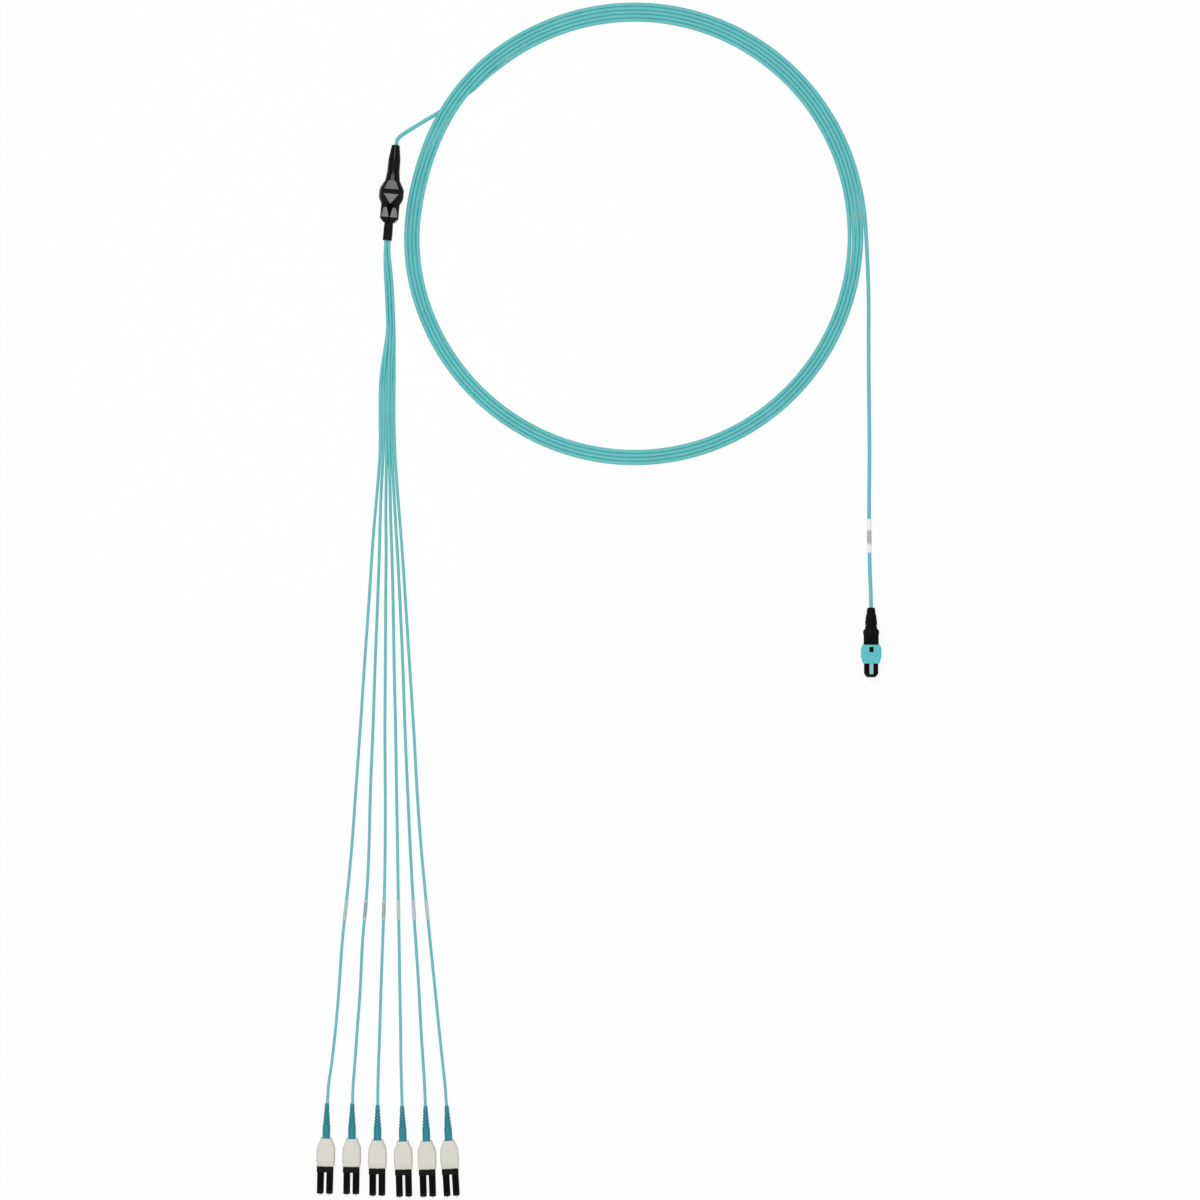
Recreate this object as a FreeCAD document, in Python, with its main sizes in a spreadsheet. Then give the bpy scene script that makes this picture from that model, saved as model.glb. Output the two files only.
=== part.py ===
import FreeCAD, Part
import math
import os
import re
import Sketcher
from FreeCAD import Rotation, Vector

# Fibre trunk harness, lying on a flat surface as it is laid out for use.  A multi-fibre push-on plug
# ends a thin trunk cable that is wound once into a wide flat coil.  At a black breakout body the
# trunk splits into six legs, and each leg ends in a twin-ferrule plug.
#
# Row frame: millimetres, +Z up from the surface, origin under the middle of the multi-fibre plug,
# whose nose points along -Y.  Inside each connector, lengths run along its own axis from the end
# where the cable enters, towards the nose (local -Y).

doc = FreeCAD.newDocument("fibre_harness")
sheet = doc.addObject("Spreadsheet::Sheet", "Sizes")

SIZES = [
    # cables
    ("trunk_diameter", 2.6), ("leg_diameter", 2.0), ("jacket_clearance", 0.05), ("trunk_straight", 8.0),
    ("tail_straight", 2.2), ("exit_straight", 5.0), ("entry_straight", 9.0),
    # coil of the trunk
    ("coil_x", -160.7), ("coil_y", 277.0), ("coil_first_radius", 145.5), ("coil_turns", 4.389),
    ("strand_pitch", 2.7), ("strand_slack", 0.1), ("crossing_start", 132), ("crossing_angle", 27),
    # boot of the multi-fibre plug
    ("boot_tip_radius", 2.5), ("boot_radius", 4.05), ("boot_taper", 8.6), ("boot_length", 14.4),
    ("boot_groove_pitch", 4.1), ("boot_groove_width", 1.1), ("boot_groove_depth", 0.28),
    ("collar_width", 10.7), ("collar_height", 7.4),
    ("collar_length", 3.75), ("collar_neck_width", 8.8), ("collar_ramp", 1.5), ("collar_round", 1.6),
    # crimp and rear housing
    ("barrel_radius", 2.1), ("barrel_bore", 1.1), ("barrel_start", 9.2), ("crimp_wall", 0.45),
    ("crimp_inset", 0.6), ("crimp_length", 7.5), ("rear_width", 10.05), ("rear_height", 6.9),
    ("rear_length", 6.95), ("rear_overlap", 0.8), ("rear_round", 1.3), ("spigot_length", 4.1),
    # coupling sleeve
    ("sleeve_height", 9.0), ("sleeve_length", 12.7), ("sleeve_rear_width", 11.7),
    ("sleeve_rear_ramp", 2.6), ("sleeve_grip_width", 13.6), ("sleeve_waist_width", 13.0),
    ("sleeve_waist", 5.3), ("sleeve_wide_width", 13.7), ("sleeve_front_width", 10.9),
    ("sleeve_ramp", 1.4), ("sleeve_wide_length", 1.4), ("sleeve_round", 1.2), ("slide_gap", 0.1),
    ("sleeve_groove_width", 1.0), ("sleeve_groove_depth", 0.35), ("sleeve_rib_width", 4.4),
    ("sleeve_rib_height", 0.4), ("sleeve_rib_setback", 0.8),
    ("counterbore_depth", 3.2), ("window_middle", 3.2), ("window_width", 2.9), ("window_length", 3.6),
    ("sleeve_travel", 1.5),
    # plug housing and its key
    ("housing_width", 9.5), ("housing_height", 6.1), ("housing_round", 1.3), ("nose_length", 8.5),
    ("nose_taper", 1.7), ("nose_taper_width", 7.4),
    ("cavity_width", 7.6), ("cavity_height", 4.3), ("key_width", 2.6), ("key_height", 1.25),
    ("key_depth", 0.4), ("key_length", 12.6), ("key_setback", 1.25), ("key_travel", 3.0),
    ("slide_reserve", 0.3),
    # ferrule of the multi-fibre plug
    ("ferrule_width", 6.4), ("ferrule_height", 2.5), ("ferrule_stick_out", 0.9),
    ("ferrule_length", 8.0), ("flange_width", 7.2), ("flange_height", 3.2), ("flange_length", 2.2),
    ("guide_hole_radius", 0.35), ("guide_hole_pitch", 4.6), ("ferrule_travel", 0.8),
    ("clamp_length", 2.3), ("clamp_margin", 0.4), ("ribbon_width", 3.0),
    ("ribbon_thickness", 0.35), ("bundle_radius", 0.8),
    # springs
    ("main_coil_radius", 1.75), ("main_wire_radius", 0.25), ("main_spring_pitch", 1.25),
    ("side_coil_radius", 0.42), ("side_wire_radius", 0.11), ("side_spring_pitch", 0.62),
    ("side_spring_length", 5.4), ("side_spring_inset", 4.1), ("side_spring_offset", 4.92),
    ("spring_clearance", 0.08),
    # breakout body
    ("relief_tip_radius", 2.7), ("relief_waist_radius", 4.05), ("relief_radius", 4.2),
    ("relief_end_radius", 5.0), ("relief_taper", 9.5), ("relief_straight", 18.0),
    ("relief_length", 24.0), ("cap_radius", 8.35), ("cap_flare", 5.8), ("cap_band", 6.6),
    ("cap_length", 16.3), ("cap_height", 12.0), ("cap_end_radius", 6.3), ("cap_ease", 1.0),
    ("cap_wall", 1.6), ("fan_bore", 2.4), ("slope_start", 18.5), ("slope_depth", 1.9),
    ("slope_end_depth", 0.3), ("slope_width", 9.8),
    ("crest_start", 30.2), ("crest_end", 33.4), ("crest_depth", 0.5), ("notch_width", 10.2),
    ("notch_depth", 1.7),
    ("lobe_width", 6.2), ("lobe_height", 10.4), ("lobe_top", 2.4), ("lobe_valley", 2.0),
    ("lobe_slope", 2.4), ("lobe_round", 1.7), ("lobe_fall_start", 2.4), ("lobe_fall", 6.4),
    ("lobe_fall_depth", 1.55),
    ("lobe_corner", 2.7), ("body_length", 12.4), ("body_spigot", 4.0),
    ("fanout_width", 8.6), ("fanout_height", 6.8), ("tail_neck_width", 5.8),
    ("tail_width", 6.1), ("tail_height", 8.4), ("tail_shoulder", 1.8), ("tail_length", 12.0),
    ("tail_round", 2.2), ("breakout_crimp_wall", 0.5), ("breakout_crimp_length", 9.0),
    ("breakout_crimp_start", 14.0), ("ring_fit", 0.02), ("leg_spacing", 2.1), ("leg_inset", 12.0),
    ("core_radius", 0.42),
    ("core_pitch", 0.95),
    # twin plugs
    ("plug_pitch", 6.25), ("plug_width", 4.5), ("plug_length", 15.0), ("plug_round", 0.9),
    ("shell_height", 7.8), ("shell_neck_width", 7.8), ("shell_neck", 3.4), ("shell_ramp", 2.4),
    ("shell_rear_width", 12.1), ("shell_wide_width", 12.6), ("shell_lip", 3.0),
    ("shell_lip_step", 0.35), ("shell_length", 18.8), ("shell_round", 1.1),
    ("shoulder_round", 8.0), ("shell_cavity", 11.0), ("shell_clearance", 0.1), ("relief_bore", 1.5),
    ("twin_boot_tip", 1.35), ("twin_boot_end", 2.6), ("twin_boot_taper", 15.8),
    ("twin_boot_length", 23.6), ("twin_boot_spigot", 2.2), ("twin_spigot_length", 2.8),
    ("rib_inset", 2.4), ("rib_pitch", 2.2), ("rib_width", 0.8), ("rib_depth", 0.45),
    ("tie_width", 11.3), ("tie_length", 3.8),
    ("tie_thickness", 1.2), ("tie_top", 4.75), ("latch_width", 3.0), ("latch_thickness", 0.85),
    ("latch_root", 2.6), ("latch_sink", 0.3), ("latch_run", 1.6), ("latch_catch", 6.4),
    ("latch_catch_length", 1.5), ("latch_catch_width", 4.3), ("catch_floor", 1.9),
    ("catch_crest", 0.75), ("catch_slope", 1.1),
    ("pin_radius", 0.625), ("pin_stick_out", 1.2), ("pin_length", 7.0), ("pin_chamfer", 0.2),
    ("pin_flange_radius", 1.45), ("pin_flange_length", 2.6), ("pin_tail_radius", 0.9),
    ("pin_tail_length", 5.0), ("pin_cavity_radius", 1.6), ("socket_radius", 1.6),
    ("socket_lip_radius", 1.22), ("socket_lip", 0.6),
    # wrap-round labels
    ("label_wall", 0.25), ("label_gap", 0.12), ("trunk_label_length", 23.0),
    ("leg_label_length", 13.6), ("trunk_label_share", 0.53), ("leg_label_share", 0.33),
]
for row, (alias, number) in enumerate(SIZES, start=1):
    sheet.set("A%d" % row, alias.replace("_", " "))
    sheet.set("B%d" % row, str(number))
    sheet.setAlias("B%d" % row, alias)
doc.recompute()
ALIASES = {alias for alias, number in SIZES}
subparts = []


def bound(text):
    """Expression that reads the cells which the text names."""
    text = str(text)
    return re.sub(r"[a-z_]+", lambda word: "Sizes." + word.group() if word.group() in ALIASES
                  else word.group(), text)


def value(text):
    return float(sheet.evalExpression(bound(text)))


def new_body(label):
    body = doc.addObject("PartDesign::Body", label)
    body.Label = label
    subparts.append(body)
    return body


def place(item, base, angle=0.0, turn=None):
    """Bind where a sub-part stands: its base point, and its turn about the vertical in degrees."""
    item.Placement = FreeCAD.Placement(Vector(0, 0, 0), turn or Rotation(Vector(0, 0, 1), angle))
    for letter, text in zip("xyz", base):
        item.setExpression("Placement.Base." + letter, bound(text))


def new_sketch(body, role, offset="0"):
    """Empty sketch on one of the body's own origin planes, moved along that plane's normal."""
    sketch = body.newObject("Sketcher::SketchObject", "Sketch")
    plane = [item for item in body.Origin.OriginFeatures if item.Role == role][0]
    sketch.AttachmentSupport = [(plane, "")]
    sketch.MapMode = "FlatFace"
    sketch.setExpression("AttachmentOffset.Base.z", bound(offset))
    return sketch


def pin_point(sketch, geometry, position, corner):
    """Fix one sketch point at a pair of expressions, measured from the sketch's origin."""
    for kind, axis, text in (("DistanceX", -2, corner[0]), ("DistanceY", -1, corner[1])):
        if text == "0":
            sketch.addConstraint(Sketcher.Constraint("PointOnObject", geometry, position, axis))
            continue
        index = sketch.addConstraint(
            Sketcher.Constraint(kind, -1, 1, geometry, position, value(text)))
        sketch.setExpression("Constraints[%d]" % index, bound(text))


def draw_outline(sketch, corners):
    """Closed outline of straight sides through the given corners."""
    points = [Vector(value(across), value(along), 0) for across, along in corners]
    first = sketch.GeometryCount
    count = len(points)
    for index in range(count):
        sketch.addGeometry(Part.LineSegment(points[index], points[(index + 1) % count]))
    for index in range(count):
        following = first + (index + 1) % count
        sketch.addConstraint(Sketcher.Constraint("Coincident", first + index, 2, following, 1))
    for index, corner in enumerate(corners):
        pin_point(sketch, first + index, 1, corner)


def rectangle(width, height, across="0", up="0"):
    """Corners of a rectangle about a middle point."""
    low_x, high_x = ["%s %s (%s) / 2" % (across, sign, width) for sign in "-+"]
    low_z, high_z = ["%s %s (%s) / 2" % (up, sign, height) for sign in "-+"]
    return [(low_x, low_z), (high_x, low_z), (high_x, high_z), (low_x, high_z)]


def mirrored(side):
    """Closed outline from the corners of its right side, listed along the axis."""
    return side + [("-(%s)" % half, along) for half, along in reversed(side)]


def groove_corners(radii, begin, width, depth):
    """Corners of a turned groove, in a surface with the given radii at the groove's two ends."""
    return [(radii[0], begin), ("%s - %s" % (radii[0], depth), "%s + %s / 4" % (begin, width)),
            ("%s - %s" % (radii[1], depth), "%s + 3 * %s / 4" % (begin, width)),
            (radii[1], "%s + %s" % (begin, width))]


def bar(body, corners, start, length, cut=False):
    """Add or cut a bar of the given section, from start towards the nose."""
    sketch = new_sketch(body, "XZ_Plane", start)
    draw_outline(sketch, corners)
    feature = body.newObject("PartDesign::Pocket" if cut else "PartDesign::Pad", "Bar")
    feature.Profile = sketch
    feature.Reversed = cut
    feature.setExpression("Length", bound(length))
    return feature


def bore(body, radius, start, length, across="0", up="0"):
    """Cut a round hole along the connector's axis."""
    sketch = new_sketch(body, "XZ_Plane", start)
    centre = Vector(value(across), value(up), 0)
    sketch.addGeometry(Part.Circle(centre, Vector(0, 0, 1), value(radius)))
    pin_point(sketch, 0, 3, (across, up))
    index = sketch.addConstraint(Sketcher.Constraint("Radius", 0, value(radius)))
    sketch.setExpression("Constraints[%d]" % index, bound(radius))
    feature = body.newObject("PartDesign::Pocket", "Bore")
    feature.Profile = sketch
    feature.Reversed = True
    feature.setExpression("Length", bound(length))
    return feature


def slab(body, corners, height):
    """Add a slab with the given outline seen from above, half of its height each side of the axis."""
    sketch = new_sketch(body, "XY_Plane")
    draw_outline(sketch, [(across, "-(%s)" % along if along != "0" else "0") for across, along in corners])
    feature = body.newObject("PartDesign::Pad", "Slab")
    feature.Profile = sketch
    feature.Midplane = True
    feature.setExpression("Length", bound(height))
    return feature


def rib(body, corners, width, across="0"):
    """Add a rib whose side view is given as distance along the axis and height."""
    sketch = new_sketch(body, "YZ_Plane", across)
    draw_outline(sketch, [("-(%s)" % along, up) for along, up in corners])
    feature = body.newObject("PartDesign::Pad", "Rib")
    feature.Profile = sketch
    feature.Midplane = True
    feature.setExpression("Length", bound(width))
    return feature


def trim(body, role, corners, depth):
    """Cut through both sides of the given plane: distance along the axis first, then across or up."""
    sketch = new_sketch(body, role)
    drawn = [("-(%s)" % along, beside) for along, beside in corners]
    draw_outline(sketch, drawn if role == "YZ_Plane" else [(beside, along) for along, beside in drawn])
    feature = body.newObject("PartDesign::Pocket", "Trim")
    feature.Profile = sketch
    feature.Midplane = True
    feature.setExpression("Length", bound(depth))
    return feature


def turned(body, corners):
    """Add a turned form: radius and distance along the axis of each corner of its half section."""
    sketch = new_sketch(body, "XY_Plane")
    draw_outline(sketch, [(radius, "-(%s)" % along if along != "0" else "0") for radius, along in corners])
    feature = body.newObject("PartDesign::Revolution", "Turned")
    feature.Profile = sketch
    feature.ReferenceAxis = (sketch, ["V_Axis"])
    feature.Angle = 360
    return feature


def round_edges(body, radius, wanted):
    """Fillet the edges whose middle and direction the test accepts."""
    doc.recompute()
    base = body.Tip
    names = []
    for index, edge in enumerate(base.Shape.Edges, start=1):
        middle = edge.valueAt((edge.FirstParameter + edge.LastParameter) / 2)
        along = edge.tangentAt((edge.FirstParameter + edge.LastParameter) / 2)
        if wanted(Vector(middle), Vector(along)):
            names.append("Edge%d" % index)
    feature = body.newObject("PartDesign::Fillet", "Round")
    feature.Base = (base, names)
    feature.setExpression("Radius", bound(radius))
    return feature


def lengthwise(middle, along):
    """Edges that run along the connector's axis."""
    return abs(along.y) > 0.99


def level(middle, along):
    """Level edges that run more or less along the connector's axis."""
    return abs(along.z) < 0.01 and abs(along.y) > 0.3


def spring(body, coil_radius, wire_radius, pitch, start, length):
    """Add a round-wire helix about the axis."""
    sketch = new_sketch(body, "XY_Plane")
    centre = Vector(value(coil_radius), -value(start) - value(wire_radius), 0)
    sketch.addGeometry(Part.Circle(centre, Vector(0, 0, 1), value(wire_radius)))
    pin_point(sketch, 0, 3, (coil_radius, "-(%s) - %s" % (start, wire_radius)))
    index = sketch.addConstraint(Sketcher.Constraint("Radius", 0, value(wire_radius)))
    sketch.setExpression("Constraints[%d]" % index, bound(wire_radius))
    doc.recompute()
    feature = body.newObject("PartDesign::AdditiveHelix", "Helix")
    feature.Profile = sketch
    feature.ReferenceAxis = (sketch, ["V_Axis"])
    feature.Mode = 0
    feature.Reversed = True
    feature.setExpression("Pitch", bound(pitch))
    feature.setExpression("Height", bound("%s - 2 * %s" % (length, wire_radius)))
    return feature


# ---- multi-fibre plug ------------------------------------------------------------------------
collar_end = "(boot_length + collar_length)"
sleeve_start = "(boot_length + collar_length + rear_length)"
housing_start = "(%s + rear_overlap)" % sleeve_start
sleeve_end = "(%s + sleeve_length)" % sleeve_start
nose_end = "(%s + nose_length)" % sleeve_end
ferrule_tip = "(%s + ferrule_stick_out)" % nose_end
flange_end = "(%s - ferrule_length + flange_length)" % ferrule_tip
clamp_end = "(%s - ferrule_length)" % ferrule_tip
spigot_end = "(%s + spigot_length)" % housing_start
plug_base = ("0", "%s / 2" % ferrule_tip, "sleeve_height / 2")

# Moulded rubber boot: a tapered tube over the crimp, with a flat-sided collar against the housing.
boot = new_body("mpo_boot")
boot_side = [("boot_tip_radius", "0")]
for count in (1, 0):
    begin = "boot_taper - boot_groove_width - %d * boot_groove_pitch" % count
    radii = ["boot_tip_radius + (boot_radius - boot_tip_radius) * (%s) / boot_taper" % along
             for along in (begin, begin + " + boot_groove_width")]
    boot_side += groove_corners(radii, begin, "boot_groove_width", "boot_groove_depth")
boot_side += groove_corners(["boot_radius", "boot_radius"],
                            "boot_taper - boot_groove_width + boot_groove_pitch",
                            "boot_groove_width", "boot_groove_depth")
turned(boot, [("trunk_diameter / 2 + jacket_clearance", "0")] + boot_side
       + [("boot_radius", "boot_length + collar_length / 2"),
          ("trunk_diameter / 2 + jacket_clearance", "boot_length + collar_length / 2")])
collar_side = [("collar_neck_width / 2", "boot_length"),
               ("collar_width / 2", "boot_length + collar_ramp"), ("collar_width / 2", collar_end)]
slab(boot, mirrored(collar_side), "collar_height")
round_edges(boot, "collar_round", lambda middle, along: level(middle, along)
            and abs(middle.x) > value("boot_radius"))
bore(boot, "barrel_radius + crimp_wall + jacket_clearance", "barrel_start",
     "%s - barrel_start" % collar_end)
place(boot, plug_base)

# Metal ring that is crimped over the cable's yarn on the barrel of the rear housing.
crimp_ring = new_body("mpo_crimp_ring")
turned(crimp_ring, [("barrel_radius", "barrel_start + crimp_inset"),
                    ("barrel_radius + crimp_wall", "barrel_start + crimp_inset"),
                    ("barrel_radius + crimp_wall", "barrel_start + crimp_inset + crimp_length"),
                    ("barrel_radius", "barrel_start + crimp_inset + crimp_length")])
place(crimp_ring, plug_base)

# Rear housing: carries the crimp barrel, snaps into the plug housing and pushes the main spring.
rear_housing = new_body("mpo_rear_housing")
turned(rear_housing, [("barrel_bore", "barrel_start"), ("barrel_radius", "barrel_start"),
                      ("barrel_radius", "%s + rear_overlap" % collar_end),
                      ("barrel_bore", "%s + rear_overlap" % collar_end)])
bar(rear_housing, rectangle("rear_width", "rear_height"), collar_end, "rear_length + rear_overlap")
round_edges(rear_housing, "rear_round", lambda middle, along: lengthwise(middle, along)
            and abs(middle.x) > value("rear_width") / 2 - 0.1)
bar(rear_housing, rectangle("cavity_width - 2 * slide_gap", "cavity_height - 2 * slide_gap"),
    housing_start, "spigot_length")
bore(rear_housing, "barrel_bore", "barrel_start", "%s - barrel_start" % spigot_end)
place(rear_housing, plug_base)

# Main spring round the fibres, between the rear housing and the ferrule's clamp.
main_spring = new_body("mpo_main_spring")
spring(main_spring, "main_coil_radius", "main_wire_radius", "main_spring_pitch", spigot_end,
       "%s - clamp_length - %s" % (clamp_end, spigot_end))
place(main_spring, plug_base)

# Clamp behind the ferrule, which spreads the spring's push over the flange.
pin_clamp = new_body("mpo_pin_clamp")
bar(pin_clamp, rectangle("flange_width", "cavity_height - 2 * slide_gap"),
    "%s - clamp_length" % clamp_end, "clamp_length")
bar(pin_clamp, rectangle("ribbon_width + clamp_margin", "2 * bundle_radius + clamp_margin"),
    "%s - clamp_length" % clamp_end, "clamp_length", cut=True)
place(pin_clamp, plug_base)

# Moulded ferrule that holds the row of fibre ends, with two guide holes and a glue window on top.
ferrule = new_body("mt_ferrule")
bar(ferrule, rectangle("ferrule_width", "ferrule_height"), clamp_end, "ferrule_length")
bar(ferrule, rectangle("flange_width", "flange_height"), clamp_end, "flange_length")
bar(ferrule, rectangle("ribbon_width", "2 * bundle_radius"), clamp_end, "ferrule_length / 2", cut=True)
for side in (-1, 1):
    bore(ferrule, "guide_hole_radius", clamp_end, "ferrule_length", "%d * guide_hole_pitch / 2" % side)
window = new_sketch(ferrule, "XY_Plane", "ferrule_height / 2")
draw_outline(window, rectangle("ribbon_width", "ferrule_length / 5", "0",
                               "-(%s + ferrule_length / 8)" % flange_end))
glue_window = ferrule.newObject("PartDesign::Pocket", "GlueWindow")
glue_window.Profile = window
glue_window.setExpression("Length", bound("ferrule_height / 2"))
place(ferrule, plug_base)

# Fibres: a flat ribbon in the ferrule and clamp that gathers into a round bundle for the barrel.
ribbon = new_body("fibre_ribbon")
bar(ribbon, rectangle("ribbon_width", "ribbon_thickness"), "%s - clamp_length" % clamp_end,
    "clamp_length + ferrule_length / 3")
bundle_start = "(barrel_start + ferrule_travel + slide_reserve)"
turned(ribbon, [("0", bundle_start), ("bundle_radius", bundle_start),
                ("bundle_radius", "%s - clamp_length / 2" % clamp_end),
                ("0", "%s - clamp_length / 2" % clamp_end)])
place(ribbon, plug_base)

# Plug housing: the black nose, with the cavity for ferrule and spring, the key's channel on top and
# a groove for a coupling spring on each side.
housing = new_body("mpo_plug_housing")
slab(housing, mirrored([("housing_width / 2", housing_start),
                        ("housing_width / 2", "%s - nose_taper" % nose_end),
                        ("nose_taper_width / 2", nose_end)]), "housing_height")
round_edges(housing, "housing_round", level)
bar(housing, rectangle("cavity_width", "cavity_height"), housing_start,
    "%s - %s" % (flange_end, housing_start), cut=True)
bar(housing, rectangle("ferrule_width + 2 * slide_gap", "ferrule_height + 2 * slide_gap"), flange_end,
    "%s - %s" % (nose_end, flange_end), cut=True)
key_end = "(%s - key_setback)" % nose_end
channel_start = "(%s - key_length - key_travel - slide_reserve)" % key_end
bar(housing, rectangle("key_width + 2 * slide_gap", "2 * key_depth", "0", "housing_height / 2"),
    channel_start, "%s - %s" % (key_end, channel_start), cut=True)
side_spring_start = "(%s + side_spring_inset)" % sleeve_start
groove_half = "(side_coil_radius + side_wire_radius + spring_clearance)"
for side in (-1, 1):
    bar(housing, rectangle("2 * %s" % groove_half, "2 * %s" % groove_half,
                           "%d * side_spring_offset" % side),
        side_spring_start, "side_spring_length", cut=True)
place(housing, plug_base)

# Polarity key: slides back along its channel to turn the plug's keying over.
key = new_body("polarity_key")
bar(key, rectangle("key_width", "key_height", "0",
                   "housing_height / 2 - key_depth + slide_gap / 2 + key_height / 2"),
    "%s - key_length" % key_end, "key_length - slide_gap / 2")
place(key, plug_base)

# Coupling sleeve: the aqua grip that is pulled back to release the plug.  It runs on the plug housing,
# with a wider counterbore over the rear housing, a slot for the key and a pocket for each spring.
sleeve = new_body("coupling_sleeve")
half_widths = [("sleeve_rear_width / 2", "0"), ("sleeve_grip_width / 2", "sleeve_rear_ramp"),
               ("sleeve_grip_width / 2", "sleeve_waist - sleeve_ramp / 2"),
               ("sleeve_waist_width / 2", "sleeve_waist"),
               ("sleeve_wide_width / 2", "sleeve_waist + sleeve_ramp"),
               ("sleeve_wide_width / 2", "sleeve_waist + sleeve_ramp + sleeve_wide_length"),
               ("sleeve_front_width / 2", "sleeve_length")]
slab(sleeve, mirrored([(half, "%s + %s" % (sleeve_start, along)) for half, along in half_widths]),
     "sleeve_height")
round_edges(sleeve, "sleeve_round", level)
for side in (-1, 1):
    bar(sleeve, rectangle("sleeve_wide_width", "2 * sleeve_groove_depth", "0",
                          "%d * sleeve_height / 2" % side),
        "%s + sleeve_waist - sleeve_groove_width / 2" % sleeve_start, "sleeve_groove_width", cut=True)
rib_start = "sleeve_waist + sleeve_ramp"
bar(sleeve, rectangle("sleeve_rib_width", "2 * sleeve_rib_height", "0", "sleeve_height / 2"),
    "%s + %s" % (sleeve_start, rib_start), "sleeve_length - sleeve_rib_setback - (%s)" % rib_start)
bar(sleeve, rectangle("rear_width + 2 * slide_gap", "rear_height + 2 * slide_gap"), sleeve_start,
    "counterbore_depth", cut=True)
bar(sleeve, rectangle("housing_width + 2 * slide_gap", "housing_height + 2 * slide_gap"), sleeve_start,
    "sleeve_length", cut=True)
key_slot = "housing_height / 2 - key_depth + key_height + 3 * slide_gap / 2"
bar(sleeve, rectangle("key_width + 2 * slide_gap", key_slot, "0", "(%s) / 2" % key_slot), sleeve_start,
    "sleeve_length", cut=True)
pocket_reach = "side_spring_offset + %s" % groove_half
for side in (-1, 1):
    bar(sleeve, rectangle("%s - cavity_width / 2" % pocket_reach, "2 * %s" % groove_half,
                          "%d * (%s + cavity_width / 2) / 2" % (side, pocket_reach)),
        "%s - sleeve_travel" % side_spring_start, "side_spring_length + sleeve_travel", cut=True)
grip_window = new_sketch(sleeve, "XY_Plane", "sleeve_height / 2")
draw_outline(grip_window, rectangle("window_width", "window_length", "0",
                                    "-(%s + window_middle)" % sleeve_start))
grip_cut = sleeve.newObject("PartDesign::Pocket", "GripWindow")
grip_cut.Profile = grip_window
grip_cut.setExpression("Length", bound("(sleeve_height - housing_height) / 2"))
place(sleeve, plug_base)

# Two small springs that hold the coupling sleeve forward.
for side, name in ((-1, "left"), (1, "right")):
    side_spring = new_body("coupling_spring_" + name)
    spring(side_spring, "side_coil_radius", "side_wire_radius", "side_spring_pitch", side_spring_start,
           "side_spring_length")
    place(side_spring, ("%d * side_spring_offset" % side, plug_base[1], plug_base[2]))


# ---- breakout body ---------------------------------------------------------------------------
BREAKOUT = (-322.2, 336.9, -5.1)        # where the trunk enters, and the axis's turn in degrees
breakout_base = (str(BREAKOUT[0]), str(BREAKOUT[1]), "cap_height / 2")
cap_end = "(relief_length + cap_length)"
body_end = "(%s + body_length)" % cap_end
breakout_end = "(%s + tail_length)" % body_end
breakout_axis = value("cap_height / 2")


def sunk_facet(body, side, base, apex, width):
    """Triangular facet sunk into the top or underside.  Its base and its apex are given as distance
    along the axis and height, and its floor runs straight between them."""
    run, drop = ["(%s - (%s))" % pair for pair in zip(base, apex)]
    sketch = new_sketch(body, "XY_Plane")
    sketch.AttachmentOffset = FreeCAD.Placement(Vector(0, 0, 0), Rotation(Vector(1, 0, 0), 1))
    sketch.setExpression("AttachmentOffset.Base.y", bound("-(%s)" % base[0]))
    sketch.setExpression("AttachmentOffset.Base.z", bound("%d * (%s)" % (side, base[1])))
    sketch.setExpression("AttachmentOffset.Rotation.Angle",
                         bound("%d * atan(%s / %s)" % (-side, drop, run)))
    reach = "%s * sqrt(1 + (%s / %s) ^ 2)" % (run, drop, run)
    draw_outline(sketch, [("-(%s) / 2" % width, "0"), ("0", reach), ("(%s) / 2" % width, "0")])
    feature = body.newObject("PartDesign::Pocket", "Facet")
    feature.Profile = sketch
    feature.Reversed = side == 1
    feature.setExpression("Length", bound("2 * slope_depth"))
    return feature


SLOPE = [("crest_start", "cap_height / 2 - slope_end_depth"),
         ("slope_start", "cap_height / 2 - slope_depth"), "slope_width"]
NOTCH = [("crest_end", "cap_height / 2"), (cap_end, "cap_height / 2 - notch_depth"), "notch_width"]

# Rubber strain relief on the trunk.
relief = new_body("breakout_boot")
turned(relief, [("trunk_diameter / 2 + jacket_clearance", "0"), ("relief_tip_radius", "0"),
                ("relief_waist_radius", "relief_taper"), ("relief_radius", "relief_straight"),
                ("relief_end_radius", "relief_length"),
                ("trunk_diameter / 2 + jacket_clearance", "relief_length")])
bore(relief, "trunk_diameter / 2 + breakout_crimp_wall + jacket_clearance", "breakout_crimp_start",
     "relief_length - breakout_crimp_start")
for side in (-1, 1):
    sunk_facet(relief, side, *SLOPE)
place(relief, breakout_base, BREAKOUT[2])

# Metal ring that holds the trunk's jacket inside the strain relief.
relief_ring = new_body("breakout_crimp_ring")
turned(relief_ring, [("trunk_diameter / 2 + ring_fit", "breakout_crimp_start"),
                     ("trunk_diameter / 2 + breakout_crimp_wall", "breakout_crimp_start"),
                     ("trunk_diameter / 2 + breakout_crimp_wall",
                      "breakout_crimp_start + breakout_crimp_length"),
                     ("trunk_diameter / 2 + ring_fit", "breakout_crimp_start + breakout_crimp_length")])
place(relief_ring, breakout_base, BREAKOUT[2])

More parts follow.
